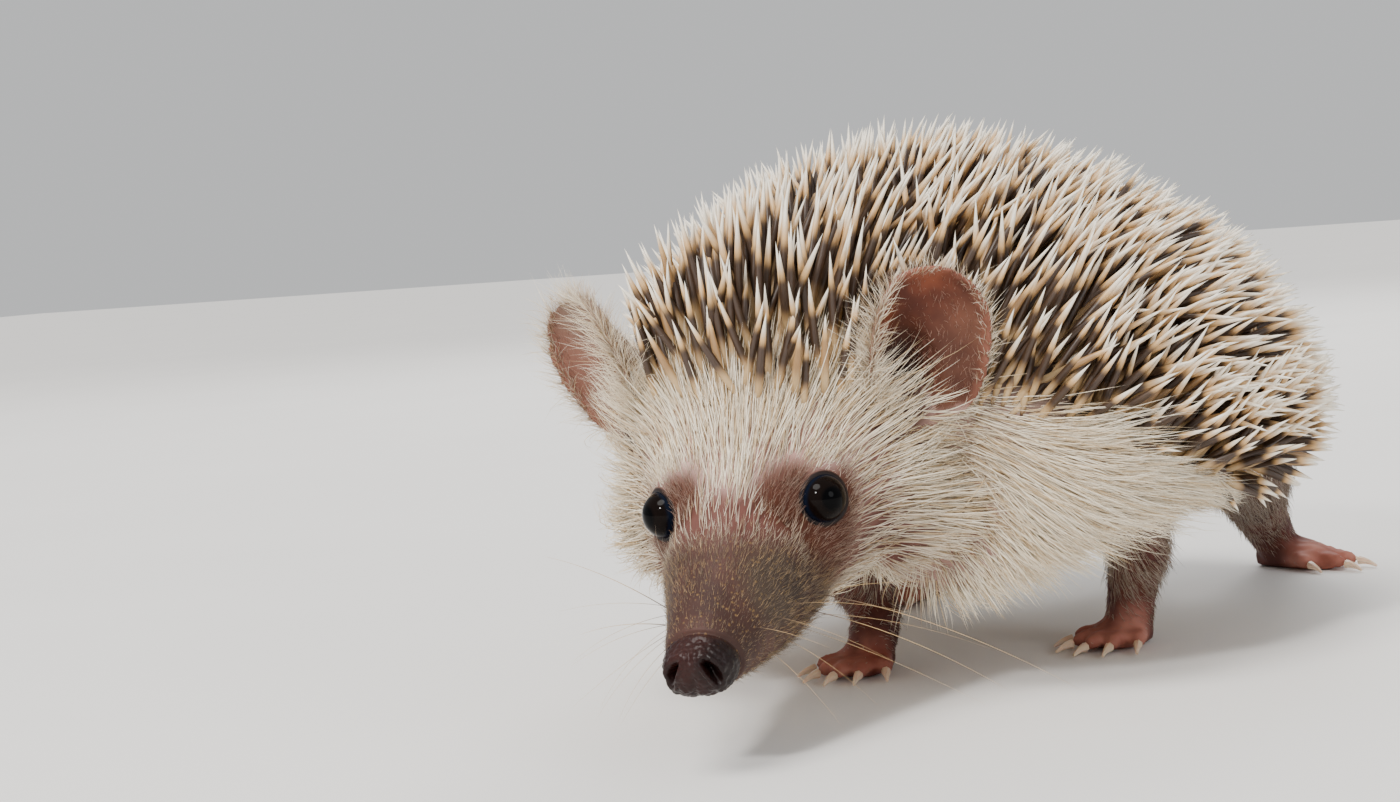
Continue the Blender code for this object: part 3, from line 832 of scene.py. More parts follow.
def surfaceOf(mesh):
    # what the coat needs to know of the skin: corners of its triangles, points and even normals
    mesh.calc_loop_triangles()
    corners = readArray(mesh.loop_triangles, "vertices", np.int32, 3)
    normals = normalsOf(mesh)
    edges = edgesOf(mesh)
    for _ in range(6):
        normals = unit(normals + 0.5 * neighbourSum(normals, edges))
    return {"corners": corners, "points": pointsOf(mesh), "normals": normals, "marks": skinMarks(mesh)}


def scatter(surface, share, perArea):
    # random places on the skin, share of perArea of them to each square millimetre
    corners = surface["corners"]
    places = surface["points"][corners]
    area = np.linalg.norm(np.cross(places[:, 1] - places[:, 0], places[:, 2] - places[:, 0]), axis=1) / 2
    weight = area * share[corners].mean(1)
    count = int(weight.sum() * perArea)
    chosen = rng.choice(len(area), count, p=weight / weight.sum())
    mix = rng.dirichlet([1, 1, 1], count)[:, :, None]
    normals = unit((surface["normals"][corners[chosen]] * mix).sum(1))
    return (places[chosen] * mix).sum(1), normals


def spacedOut(places, gap):
    # keeps places that lie at least a gap from the ones kept before
    kept = []
    taken = {}
    around = [tuple(np.subtract(shift, 1).tolist()) for shift in np.ndindex(3, 3, 3)]

    def crowded(place, other):
        x, y, z = place - other
        return x * x + y * y + z * z < gap * gap

    for i, (x, y, z) in enumerate(np.floor(places / gap).astype(int).tolist()):
        near = [j for dx, dy, dz in around for j in taken.get((x + dx, y + dy, z + dz), ())]
        if not any(crowded(places[i], places[j]) for j in near):
            taken.setdefault((x, y, z), []).append(i)
            kept.append(i)
    return np.array(kept)


def spotsOf(roots):
    # every tuft gets its own place on an unwrap of the skin, wound round the length of the body
    angle = np.arctan2(roots[:, 0], roots[:, 2] - 26)
    rows = math.ceil(len(roots) / max(1, int(math.sqrt(len(roots)))))
    columns = math.ceil(len(roots) / rows)
    order = np.argsort(roots[:, 1], kind="stable")
    spots = np.empty((len(roots), 2))
    for column in range(columns):
        members = order[column * rows:(column + 1) * rows]
        members = members[np.argsort(angle[members], kind="stable")]
        spots[members, 0] = (column + 0.5) / columns
        spots[members, 1] = (np.arange(len(members)) + 0.5) / rows
    return spots * 0.98 + 0.01


def aboveFloor(paths):
    low = 0.3 + 0.02 * rng.random(paths.shape[:2] + (1,))
    return np.concatenate([paths[..., :2], np.maximum(paths[..., 2:], low)], 2)


def tuftMesh(name, paths, radii, sides, marks):
    # tapered tubes: paths is tube by step by place, radii is tube by step, marks are kept for each tube
    count, steps = paths.shape[:2]
    paths = aboveFloor(paths)
    ahead = unit(np.gradient(paths, axis=1) + 1e-6)
    bend = paths[:, -1] - 2 * paths[:, steps // 2] + paths[:, 0]
    bend = bend + 0.02 * rng.normal(size=bend.shape)
    across = unit(np.cross(ahead[:, 0], bend))[:, None]
    normal = unit(np.cross(across, ahead))
    turn = np.linspace(0, 2 * math.pi, sides, endpoint=False)[:, None]
    ring = normal[:, :, None] * np.cos(turn) + across[:, :, None] * np.sin(turn)
    body = paths[:, :-1, None] + ring[:, :-1] * radii[:, :-1, None, None]
    tubes = np.concatenate([body.reshape(count, -1, 3), paths[:, -1:]], 1)
    each = (steps - 1) * sides + 1
    index, after, quads = tubeQuads(steps - 1, sides)
    tips = np.stack([index[-1], after[-1], np.full(sides, each - 1)], -1)
    base = index[0][::-1][None]
    offset = (np.arange(count) * each)[:, None, None]
    faces = [(rows[None] + offset).reshape(-1, rows.shape[1]) for rows in (quads, tips, base)]
    mesh = newMesh(name, tubes.reshape(-1, 3), faces)
    along = np.append(np.repeat(np.linspace(0, 1, steps)[:-1], sides), 1.0)
    around = np.append(np.tile(np.abs(np.linspace(-1, 1, sides, endpoint=False)), steps - 1), 0.5)
    setAttribute(mesh, "along", np.tile(along, count))
    for key, values in marks.items():
        setAttribute(mesh, key, np.repeat(values, each))
    # the tuft's patch of the unwrap lies round its own spot
    patch = min(0.003, 0.6 / math.sqrt(count)) * (np.stack([around, along], -1) - 0.5)
    uv = spotsOf(paths[:, 0])[:, None] + patch
    loops = readArray(mesh.loops, "vertex_index", np.int32, 1)[:, 0]
    layer = mesh.uv_layers.new(name="OFBake")
    layer.data.foreach_set("uv", uv.reshape(-1, 2)[loops].astype(np.float32).ravel())
    mesh.shade_smooth()
    return mesh


def trianglesEach(paths, sides):
    return 2 * sides * (paths.shape[1] - 2) + sides + sides - 2


def coatPiece(name, material, paths, radii, sides, marks):
    piece = showing(tuftMesh(name, paths, radii, sides, marks), name)
    piece.data.materials.append(material)
    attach(piece, "root")
    print(name, len(paths), "tufts", len(paths) * trianglesEach(paths, sides), "triangles")


def piecesOf(name, material, paths, radii, sides, marks, most=190000):
    # the tufts shared out to as many pieces as keep each under its most triangles
    parts = math.ceil(len(paths) * trianglesEach(paths, sides) / most)
    order = np.argsort(paths[:, 0, 1], kind="stable")
    for i, members in enumerate(np.array_split(order, parts)):
        chosen = {key: values[members] for key, values in marks.items()}
        coatPiece("%s_%d" % (name, i + 1), material, paths[members], radii[members], sides, chosen)


def beyondForm(places):
    # how far outside the body's outline each place is, and the way out of it
    gaps = np.empty(len(places))
    ways = np.empty((len(places), 3))
    for i, place in enumerate(places):
        spot = Vector(place * toMetres)
        near, ways[i], _, gap = formTree.find_nearest(spot)
        gaps[i] = math.copysign(gap / toMetres, (spot - near).dot(Vector(ways[i])))
    return gaps, ways


def keptToForm(paths, most, power):
    # leans tufts over until their tips lie near the body's outline
    t = np.linalg.norm(paths - paths[:, :1], axis=2)
    t = (t / np.maximum(t[:, -1:], 1e-6)) ** power
    for _ in range(2):
        gaps, ways = beyondForm(paths[:, -1])
        move = np.minimum(most - gaps, 0)
        paths = paths + ways[:, None] * (move[:, None] * t)[:, :, None]
    return paths


spinePlan = {
    "perArea": 4.0,  # tries for each square millimetre, before they are spaced out
    "gap": 1.12,
    "length": 15.8,
    "radius": 0.52,
    "along": [0.0, 0.05, 0.18, 0.42, 0.60, 0.76, 0.90, 1.0],
    "thickness": [0.42, 0.58, 0.92, 1.0, 0.90, 0.62, 0.27, 0.03],
    "scatter": 0.22,  # how far a spine strays from its row
    "lean": ([0, 5, 12, 24, 45, 90], [8, 16, 30, 44, 52, 56]),  # degrees back, by distance behind the brow
}


def buildSpines(surface):
    marks = surface["marks"]
    besideEar = earPlaces(surface["points"])[0]
    share = ramp(spineDepth(surface["points"]), -1.0, 1.5) * (1 - marks["ear"]) * ramp(besideEar, 1.0, 2.5)
    share = share * (1 - ramp(marks["limb"], 0.1, 0.4)) * facingOut(surface["normals"])
    places, normals = scatter(surface, share, spinePlan["perArea"])
    kept = spacedOut(places, spinePlan["gap"])
    places, normals = places[kept], normals[kept]
    count = len(places)
    head = toHead(places)
    behind = browLine(head[:, 0]) - head[:, 1]
    # upright on the crown of the head, laid back further along the body
    upright = headTurned(unit(np.stack([head[:, 0] * 0.035, np.full(count, -0.10), np.ones(count)], 1)))
    crown = ramp(behind, 26, 4)[:, None] * ramp(places[:, 1], -5, -20)[:, None]
    base = unit(normals * (1 - 0.85 * crown) + upright * 0.85 * crown)
    drop = -0.22 - 0.25 * ramp(places[:, 2], 40, 20)
    flow = unit(np.stack([places[:, 0] * 0.006, np.ones(count), drop], 1))
    flow = alongSkin(flow * (1 - crown) + headTurned([0, -1, 0.1]) * crown, base)
    lean = np.radians(np.interp(behind, *spinePlan["lean"]))[:, None]
    ahead = base * np.cos(lean) + flow * np.sin(lean)
    ahead = unit(ahead + spinePlan["scatter"] * rng.normal(size=(count, 3)))
    size = rng.normal(1.0, 0.07, count)
    size = size * (0.72 + 0.28 * ramp(spineDepth(places), 0, 6)) * (0.92 + 0.08 * ramp(behind, 0, 10))
    length = (spinePlan["length"] * size)[:, None, None]
    t = np.array(spinePlan["along"])[:, None]
    sag = (flow + 0.35 * rng.normal(size=(count, 3)))[:, None] * t**2 * 0.05
    paths = places[:, None] - ahead[:, None] * 0.6 + length * (ahead[:, None] * t + sag)
    radii = spinePlan["radius"] * (0.8 + 0.2 * size[:, None]) * np.array(spinePlan["thickness"])
    most = 0.6 + 1.3 * rng.random(count) + 1.6 * crown[:, 0]
    paths = keptToForm(paths, most, 1.0)
    # none across the open side of an ear
    clear = np.ones(count, bool)
    for step in (4, 5, 6, 7):
        gap, _, _, front = earPlaces(paths[:, step])
        clear &= (gap > 5.5) | (front < 0.3)
    tone = rng.random(int(clear.sum()))
    piecesOf("spines", spineFinish, paths[clear], radii[clear], 6, {"tone": tone})


hairPlan = {
    "face": {"perArea": 7.02, "radius": 0.068, "lift": 21, "steps": 5, "stray": 0.15, "clump": 0.60,
             "locks": 1.2},
    "velvet": {"perArea": 22.0, "radius": 0.020, "lift": 24, "steps": 2, "stray": 0.22},
    "flank": {"perArea": 6.5, "radius": 0.056, "lift": 15, "steps": 5, "stray": 0.13, "clump": 0.55,
              "locks": 1.7},
    "short": {"perArea": 5.0, "radius": 0.05, "lift": 22, "steps": 3, "stray": 0.25, "clump": 0.2,
              "droop": 0.5},
    "ear": {"perArea": 9.0, "radius": 0.022, "steps": 3},
}


def varied(count, amount, most=1.6):
    return rng.normal(1, amount, count).clip(0.5, most)


def hairPaths(places, normals, lengths, plan):
    count = len(places)
    lay = layOf(places, normals)
    side = np.cross(normals, lay)
    lay = unit(lay + side * (plan["stray"] * rng.normal(size=(count, 1))))
    rise = np.radians(plan["lift"] * np.exp(0.35 * rng.normal(size=(count, 1))))
    ahead = lay * np.cos(rise) + normals * np.sin(rise)
    t = np.linspace(0, 1, plan["steps"] + 1)[None, :, None]
    droop = np.array([0, 0, -plan.get("droop", 0.0)])
    bend = lay * 0.22 - normals * 0.16 + droop + 0.10 * rng.normal(size=(count, 3))
    reach = lengths[:, None, None]
    paths = places[:, None] - normals[:, None] * 0.15 + reach * (ahead[:, None] * t + bend[:, None] * t**2)
    if "clump" in plan:
        # tips gather to the nearest lock
        locks = spacedOut(places, plan.get("locks", 2.0))
        tree = KDTree(len(locks))
        for i, lock in enumerate(locks):
            tree.insert(places[lock], i)
        tree.balance()
        owner = locks[np.array([tree.find(place)[1] for place in places])]
        pull = plan["clump"] * (0.5 + 0.5 * rng.random((count, 1, 1))) * t**1.5
        scale = reach / np.maximum(lengths[owner], 0.1)[:, None, None]
        target = places[owner][:, None] + (paths[owner] - places[owner][:, None]) * scale
        paths = paths * (1 - pull) + (target + 0.25 * (places - places[owner])[:, None]) * pull
    return paths


def hairLength(places):
    # how long the coat is at each place on the skin
    head = toHead(places)
    side = np.abs(head[:, 0])
    onFace = np.interp(head[:, 1], [-14, -8, -2, 4, 8, 12, 20], [8.5, 8.0, 6.6, 5.0, 3.4, 2.0, 1.2])
    onFace = onFace * (1 + 0.35 * ramp(side, 9, 15)) * (0.32 + 0.68 * ramp(eyeGap(places), 3.3, 7.5))
    belowEar = ramp(side, 12, 15) * ramp(head[:, 1], -6, -10) * ramp(head[:, 2], -5, -1)
    onFace = onFace * (1 - 0.5 * belowEar)
    onBody = np.interp(head[:, 1], [-40, -20], [12.5, 10.5])
    share = faceShare(places)
    return onFace * share + onBody * (1 - share)


def tapered(count, radius, *shape):
    return np.reshape(radius, (-1, 1)) * np.ones((count, 1)) * np.array(shape)[None]


def hairMarks(places, inEar=0.0, dusky=0.0):
    count = len(places)
    found = {"tone": rng.random(count), "inEar": inEar * np.ones(count), "dusky": dusky * np.ones(count)}
    found.update(markings(places))
    return found


def growFaceHair(surface, bare, spiny):
    # long hair of the forehead and cheeks
    plan = hairPlan["face"]
    points = surface["points"]
    marks = surface["marks"]
    share = faceShare(points) * (1 - spiny) * (1 - bare) * (1 - marks["muzzle"]) * (1 - 0.90 * marks["rust"])
    share = share * (1 - 0.72 * marks["bridge"]) * (1 + 1.2 * ramp(eyeGap(points), 6.5, 3.6))
    share = share * (0.75 + 0.25 * ramp(toHead(points)[:, 1], 1, -9)) * (1 - 0.88 * marks["earFrontShade"])
    places, normals = scatter(surface, share, plan["perArea"])
    count = len(places)
    forward = toHead(places)[:, 1]
    lengths = hairLength(places) * varied(count, 0.18) * (1 - 0.55 * markings(places)["rust"])
    lengths = lengths * (1 - 0.5 * ramp(places[:, 2], 22, 16) * ramp(forward, -2, -9))
    paths = hairPaths(places, normals, lengths, plan)
    paths = keptToForm(paths, (0.4 + 1.1 * rng.random(count)) * (1 + 1.3 * ramp(forward, 0, -9)), 2.0)
    thick = plan["radius"] * np.interp(lengths, [0.8, 6], [0.5, 1.0])
    found = hairMarks(places)
    over = markings(paths[:, 2])  # hair that lies over the rust and the bridge
    found["rust"] = np.maximum.reduce([found["rust"], 0.95 * over["rust"], 0.45 * over["bridge"]])
    radii = tapered(count, thick, 1.0, 1.0, 0.88, 0.65, 0.36, 0.04)
    piecesOf("faceHair", hairFinish, paths, radii, 3, found)


def growVelvet(surface, bare):
    # velvet of the muzzle and round the eyes
    plan = hairPlan["velvet"]
    points = surface["points"]
    marks = surface["marks"]
    furred = faceShare(points) * (1 - bare)
    onMuzzle = marks["muzzle"] * (0.65 + 0.35 * ramp(toHead(points)[:, 1], 20, 12))
    share = furred * np.maximum(onMuzzle, marks["rust"] * 0.5)
    share = np.maximum(share, 0.8 * furred * ramp(eyeGap(points), 6.2, 3.5))
    places, normals = scatter(surface, share, plan["perArea"])
    count = len(places)
    head = toHead(places)
    lengths = np.interp(head[:, 1], [0, 8, 20], [1.9, 1.3, 0.7]) * varied(count, 0.22)
    lengths = lengths * (1 + 0.7 * ramp(head[:, 2] + 0.25 * head[:, 1], -3.5, -6.5))
    paths = hairPaths(places, normals, lengths, plan)
    radii = tapered(count, plan["radius"], 1.0, 0.75, 0.05)
    piecesOf("velvet", hairFinish, paths, radii, 3, hairMarks(places))


def growFlankHair(surface, bare, spiny):
    # flanks, throat and belly
    plan = hairPlan["flank"]
    share = (1 - faceShare(surface["points"])) * (1 - spiny) * (1 - bare) * (1 - surface["marks"]["limb"])
    share = share * (0.35 + 0.65 * ramp(surface["normals"][:, 2], -0.9, -0.5))
    places, normals = scatter(surface, share, plan["perArea"])
    count = len(places)
    along, height = places[:, 1], places[:, 2]
    lengths = hairLength(places) * varied(count, 0.16, 1.5) * (0.55 + 0.45 * ramp(normals[:, 2], -0.85, -0.2))
    # shorter beside the legs, under the throat, along the hem and under the spines
    short = 0.62 - 0.36 * ramp(along, 26, 15)
    lengths = lengths * (short + (1 - short) * ramp(gapTo(places, limbNodes), 2.0, 8.5))
    lengths = lengths * (1 - 0.7 * ramp(height, 22, 13) * ramp(along, -8, -16))
    lengths = lengths * (1 - 0.45 * ramp(height, 23, 13) * ramp(along, 22, 12))
    lengths = lengths * (1 - 0.6 * ramp(spineDepth(places), -4, 0.5))
    paths = hairPaths(places, normals, lengths, plan)
    paths = keptToForm(paths, -0.3 + 1.3 * rng.random(count), 1.6)
    radii = tapered(count, plan["radius"], 0.9, 1.0, 0.95, 0.75, 0.42, 0.04)
    piecesOf("bodyHair", hairFinish, paths, radii, 3, hairMarks(places))


def growLegHair(surface):
    plan = hairPlan["short"]
    share = surface["marks"]["limb"] * ramp(surface["points"][:, 2], 1.0, 4.0)
    places, normals = scatter(surface, share, plan["perArea"])
    count = len(places)
    lengths = np.interp(places[:, 2], [1, 6, 14, 22], [0.5, 1.1, 2.2, 3.6]) * varied(count, 0.2)
    paths = hairPaths(places, normals, lengths, plan)
    radii = tapered(count, plan["radius"], 1.0, 0.85, 0.5, 0.05)
    piecesOf("legHair", hairFinish, paths, radii, 3, hairMarks(places))


def growEarDown(surface):
    # fine down on the ears, longer on the rims
    plan = hairPlan["ear"]
    marks = surface["marks"]
    share = marks["ear"] * (0.35 + (0.65 + 0.9 * marks["farEarLit"]) * marks["rim"] + 0.9 * marks["innerRim"])
    places, normals = scatter(surface, share, plan["perArea"])
    count = len(places)
    _, up, across, _ = earPlaces(places)
    rim = ramp(np.maximum(np.abs(across), up), 0.8, 0.97)
    inner = rim * ramp(across, -0.6, -0.85) * ramp(up, 0.95, 0.7)
    away = ramp(toHead(places)[:, 0], -2, -8)
    lengths = (0.8 + (1.1 + 1.0 * away) * rim + 1.8 * inner) * varied(count, 0.25)
    lay = headTurned([0, -0.3, 1.0]) + normals * (0.5 + 0.8 * rim[:, None])
    lay = unit(lay + 0.25 * rng.normal(size=(count, 3)))
    t = np.linspace(0, 1, plan["steps"] + 1)[None, :, None]
    bend = 0.25 * rng.normal(size=(count, 1, 3)) * t**2
    paths = places[:, None] + lengths[:, None, None] * (lay[:, None] * t + bend)
    radii = tapered(count, plan["radius"] * (1 + 0.5 * rim), 1.0, 0.85, 0.55, 0.05)
    piecesOf("earHair", hairFinish, paths, radii, 3, hairMarks(places, inEar=1 - rim))


def buildHair(surface):
    marks = surface["marks"]
    bare = np.maximum.reduce([marks[name] for name in ("ear", "pad", "lid", "mouth")])
    body = 1 - faceShare(surface["points"])
    spiny = ramp(spineDepth(surface["points"]), -0.5 - 0.6 * body, 2.5 - 1.6 * body)
    spiny = spiny * facingOut(surface["normals"])
    growFaceHair(surface, bare, spiny)
    growVelvet(surface, bare)
    growFlankHair(surface, bare, spiny)
    growLegHair(surface)
    growEarDown(surface)


# Markings shared by skin and coat, and a painted shade in front of the ear: middle on the head's axes, size,
# and where each starts and is full
markPlan = {
    "innerRust": ((6.6, 3.2, 2.2), (1, 1, 1), 5.8, 2.6),
    "underEye": ((9.4, 3.0, -4.2), (1, 1, 1), 5.8, 3.0),
    "patch": ((5.2, 12.0, -3.6), (1.0, 1.1, 1.0), 6.0, 2.5),
    # painted shade in front of the ear's base, where the skin is drawn dark
    "earFrontShade": ((15.5, -12.0, 4.5), (1, 1, 1), 6.5, 3.0),
    "muzzleEdge": 11.4,  # how far forward the brown of the muzzle starts
}


def spot(head, name):
    middle, size, start, full = markPlan[name]
    return ramp(np.linalg.norm((head - middle) / size, axis=1), start, full)


def markings(points):
    head = toHead(points)
    mirrored = foldedOver(head)
    # the brown of the muzzle runs up between the eyes and back below them
    edge = markPlan["muzzleEdge"] - 0.075 * np.minimum(mirrored[:, 0], 13) ** 2
    edge = edge - 0.35 * np.clip(-3 - head[:, 2], 0, 8)
    rust = spot(mirrored, "innerRust") * ramp(mirrored[:, 0], 9.4, 7.0)
    roundEye = 0.85 * ramp(eyeGap(points), 6.3, 4.0) * ramp(head[:, 2], 3.0, 0.5)
    limb = limbShare(points, -3.0, 0.2)
    # the legs' dark colour carried up the front legs: partly their own colour, partly painted shade under the
    # belly
    low = points[:, 2] < 20
    upperArmAndShade = ramp(gapTo(points[low], frontLegs), 1.3, 0.5) * ramp(points[low, 2], 19, 16)
    limb[low] = np.maximum(limb[low], upperArmAndShade)
    return {
        "muzzle": ramp(head[:, 1] - edge, -3.0, 1.6),
        "rust": np.maximum.reduce([rust, spot(mirrored, "underEye"), roundEye]),
        "bridge": ramp(head[:, 1] - edge, -9.5, -4.2),
        "limb": limb,
        "patch": spot(head, "patch"),
    }


def skinMarks(mesh):
    points = pointsOf(mesh)
    head = toHead(points)
    mirrored = foldedOver(head)
    marks = markings(points)
    gap, share, across, front = earPlaces(points)
    ear = ramp(gap, 1.5, 0.9) * ramp(share, 0.08, 0.18)
    rim = ear * ramp(np.maximum(np.abs(across), share), 0.78, 0.95)
    marks.update({
        "ear": ear,
        # painted shade in the ear's opening
        "opening": ear * earHollow(share, across) * ramp(front, -0.1, 0.2),
        "earTop": ear * ramp(share - 0.25 * across, 0.35, 0.70),
        "rim": rim,
        "innerRim": rim * ramp(across, -0.55, -0.8) * ramp(share, 0.95, 0.7),
        "hollow": ear * ramp(front, -0.1, 0.25),
        # painted light: the far ear, which the skin paints paler as if lit through it
        "farEarLit": ear * ramp(head[:, 0], -2, -8),
        # painted shade: dark skin in front of the ear's base
        "earFrontShade": spot(mirrored, "earFrontShade") * (1 - ear),
        "spiny": ramp(spineDepth(points), -1.5, 2.0) * facingOut(normalsOf(mesh)),
        "toe": ramp(gapTo(points, clawNodes), 6.5, 3.0),
        "pad": nosePad(head),
        "lid": ramp(eyeGap(points) - eyePlan["radius"], 0.48, 0.30),
        "body": (1 - faceShare(points)) * (1 - marks["limb"]),
        "mouth": ramp(lineGap(mirrored, nosePlan["mouth"]), 1.0, 0.5),
    })
    for key, values in marks.items():
        setAttribute(mesh, key, values)
    return marks


def paint(code):
    # a colour from its six-figure code, as light
    parts = [int(code[i:i + 2], 16) / 255 for i in (0, 2, 4)]
    return tuple(c / 12.92 if c < 0.04045 else ((c + 0.055) / 1.055) ** 2.4 for c in parts) + (1.0,)


class Wire:
    # a socket of a material's nodes, on which sums and products add Math nodes
    def __init__(self, tree, socket=None):
        self.tree = tree
        self.socket = socket

    def node(self, kind, settings=None, values=None, output=0):
        made = self.tree.nodes.new(kind)
        for key, value in (settings or {}).items():
            setattr(made, key, value)
        for key, value in (values or {}).items():
            if isinstance(value, Wire):
                self.tree.links.new(value.socket, made.inputs[key])
            else:
                made.inputs[key].default_value = paint(value) if isinstance(value, str) else value
        return Wire(self.tree, made.outputs[output])

    def math(self, operation, first, second):
        return self.node("ShaderNodeMath", {"operation": operation}, {0: first, 1: second})

    def __add__(self, other):
        return self.math("ADD", self, other)

    def __radd__(self, other):
        return self.math("ADD", other, self)

    def __sub__(self, other):
        return self.math("SUBTRACT", self, other)

    def __rsub__(self, other):
        return self.math("SUBTRACT", other, self)

    def __mul__(self, other):
        return self.math("MULTIPLY", self, other)

    def __rmul__(self, other):
        return self.math("MULTIPLY", other, self)

    def __pow__(self, other):
        return self.math("POWER", self, other)

    def step(self, start, end):
        # 0 at start, 1 at end, smooth between
        values = {"Value": self, "From Min": start, "From Max": end}
        return self.node("ShaderNodeMapRange", {"interpolation_type": "SMOOTHSTEP"}, values)

    def over(self, below, colour):
        # colour laid over another with this value as its strength
        return self.node("ShaderNodeMix", {"data_type": "RGBA"}, {0: self, 6: below, 7: colour}, 2)

    def attributes(self, *names):
        return [self.node("ShaderNodeAttribute", {"attribute_name": name}, output=2) for name in names]

    def place(self):
        return self.node("ShaderNodeTexCoord", output=3)

    def noise(self, place, scale, detail=3.0):
        return self.node("ShaderNodeTexNoise", {}, {"Vector": place, "Scale": scale, "Detail": detail})


def newFinish(name, roughness, **fixed):
    material = bpy.data.materials.new(name)
    material.use_nodes = True
    shader = material.node_tree.nodes["Principled BSDF"]
    shader.inputs["Roughness"].default_value = roughness
    for key, value in fixed.items():
        shader.inputs[key.replace("_", " ")].default_value = value
    return material, shader, Wire(material.node_tree)


def feed(shader, name, wire):
    wire.tree.links.new(wire.socket, shader.inputs[name])


spineLook = {
    # dark at the root: partly the spines' own colour, partly painted shade between the spines
    "root": "5e4632",
    "shaft": "cdae80",
    "belowBand": "8f6538",
    "band": "2e1d14",
    "aboveBand": "d2a870",
    "tip": "fff6e4",
    "bandStart": (0.33, 0.43),  # along the spine, from nothing to full
    "bandEnd": (0.60, 0.70),
    "tipStart": (0.67, 0.86),
}


def makeSpineFinish():
    look = spineLook
    material, shader, wire = newFinish("spineHorn", 0.38, Coat_Weight=0.15, Coat_Roughness=0.3)
    along, tone = wire.attributes("along", "tone")
    streak = wire.noise(wire.place(), 900.0, 2.0)
    start = along - (tone - 0.5) * 0.12 - (streak - 0.5) * 0.03
    # the dark root also paints shade between the spines
    colour = start.step(0.0, 0.35).over(look["root"], look["shaft"])
    colour = (start.step(0.26, 0.44) * 0.75).over(colour, look["belowBand"])
    colour = start.step(0.60, 0.69).over(colour, look["aboveBand"])
    colour = start.step(*look["tipStart"]).over(colour, look["tip"])
    band = start.step(*look["bandStart"]) * (1 - start.step(*look["bandEnd"]))
    band = band * (1 - tone.step(0.90, 0.95))  # a few spines have no dark band
    colour = (band * (0.90 + 0.08 * streak)).over(colour, look["band"])
    feed(shader, "Base Color", colour)
    feed(shader, "Roughness", 0.34 + 0.2 * streak)
    return material


# a pair of colours runs from the darkest hairs to the palest, or from root to tip for the dusky ones
hairLook = {
    "white": ("d6bb90", "fff3dc"),
    "root": "bb9d84",
    "rust": "6e3f2c",
    "muzzle": ("3e2b22", "bd9459"),
    "limb": "5a382b",
    "inEar": ("6b3426", "b07a66"),
    "dusky": ("4a3527", "c2a273"),
}


def makeHairFinish():
    look = hairLook
    material, shader, wire = newFinish("hair", 0.6, Sheen_Weight=0.04)
    along, tone, muzzle, rust, limb = wire.attributes("along", "tone", "muzzle", "rust", "limb")
    inEar, dusky = wire.attributes("inEar", "dusky")
    colour = tone.step(0.05, 0.55).over(*look["white"])
    colour = ((1 - along.step(0.0, 0.4)) * 0.35).over(colour, look["root"])
    colour = (rust * (0.97 - 0.2 * tone)).over(colour, look["rust"])
    colour = (muzzle * 0.92).over(colour, (tone ** 3.0).over(*look["muzzle"]))
    colour = (limb * (0.9 - 0.3 * tone)).over(colour, look["limb"])
    colour = (inEar * 0.8).over(colour, tone.over(*look["inEar"]))
    colour = dusky.over(colour, along.step(0.05, 0.4).over(*look["dusky"]))
    feed(shader, "Base Color", colour)
    return material


# a pair of colours is mottled from one to the other
skinLook = {
    "pale": ("ad877d", "c6a399"),
    "body": "a89284",
    "spiny": "33241c",
    # painted shade in front of the ear's base
    "earFrontShade": "3a211b",
    "bridge": "54281f",
    "rust": "45200f",
    "muzzle": ("33211c", "4b312a"),
    "patch": ("26211b", "3f382e"),
    "muzzleFleck": "8f7145",
    "leg": ("40211d", "65382f"),
    "toe": ("8a4c3e", "b37767"),
    "ear": ("4e2d22", "704838"),
    "earTop": ("4c2216", "7a3f28"),
    "earBack": "8f6054",
    "rim": "94604e",
    "innerRim": "8d7462",
    # painted light: paler colours for the far ear, as if lit through it
    "farEarLit": "96695a",
    "farEarLitTop": "7f6a5c",
    # painted shade in the ear's opening
    "opening": "1e0c08",
    "lid": "140b0a",
    "pad": ("150807", "2e1411"),
    "bumpDepth": 0.00025,
}


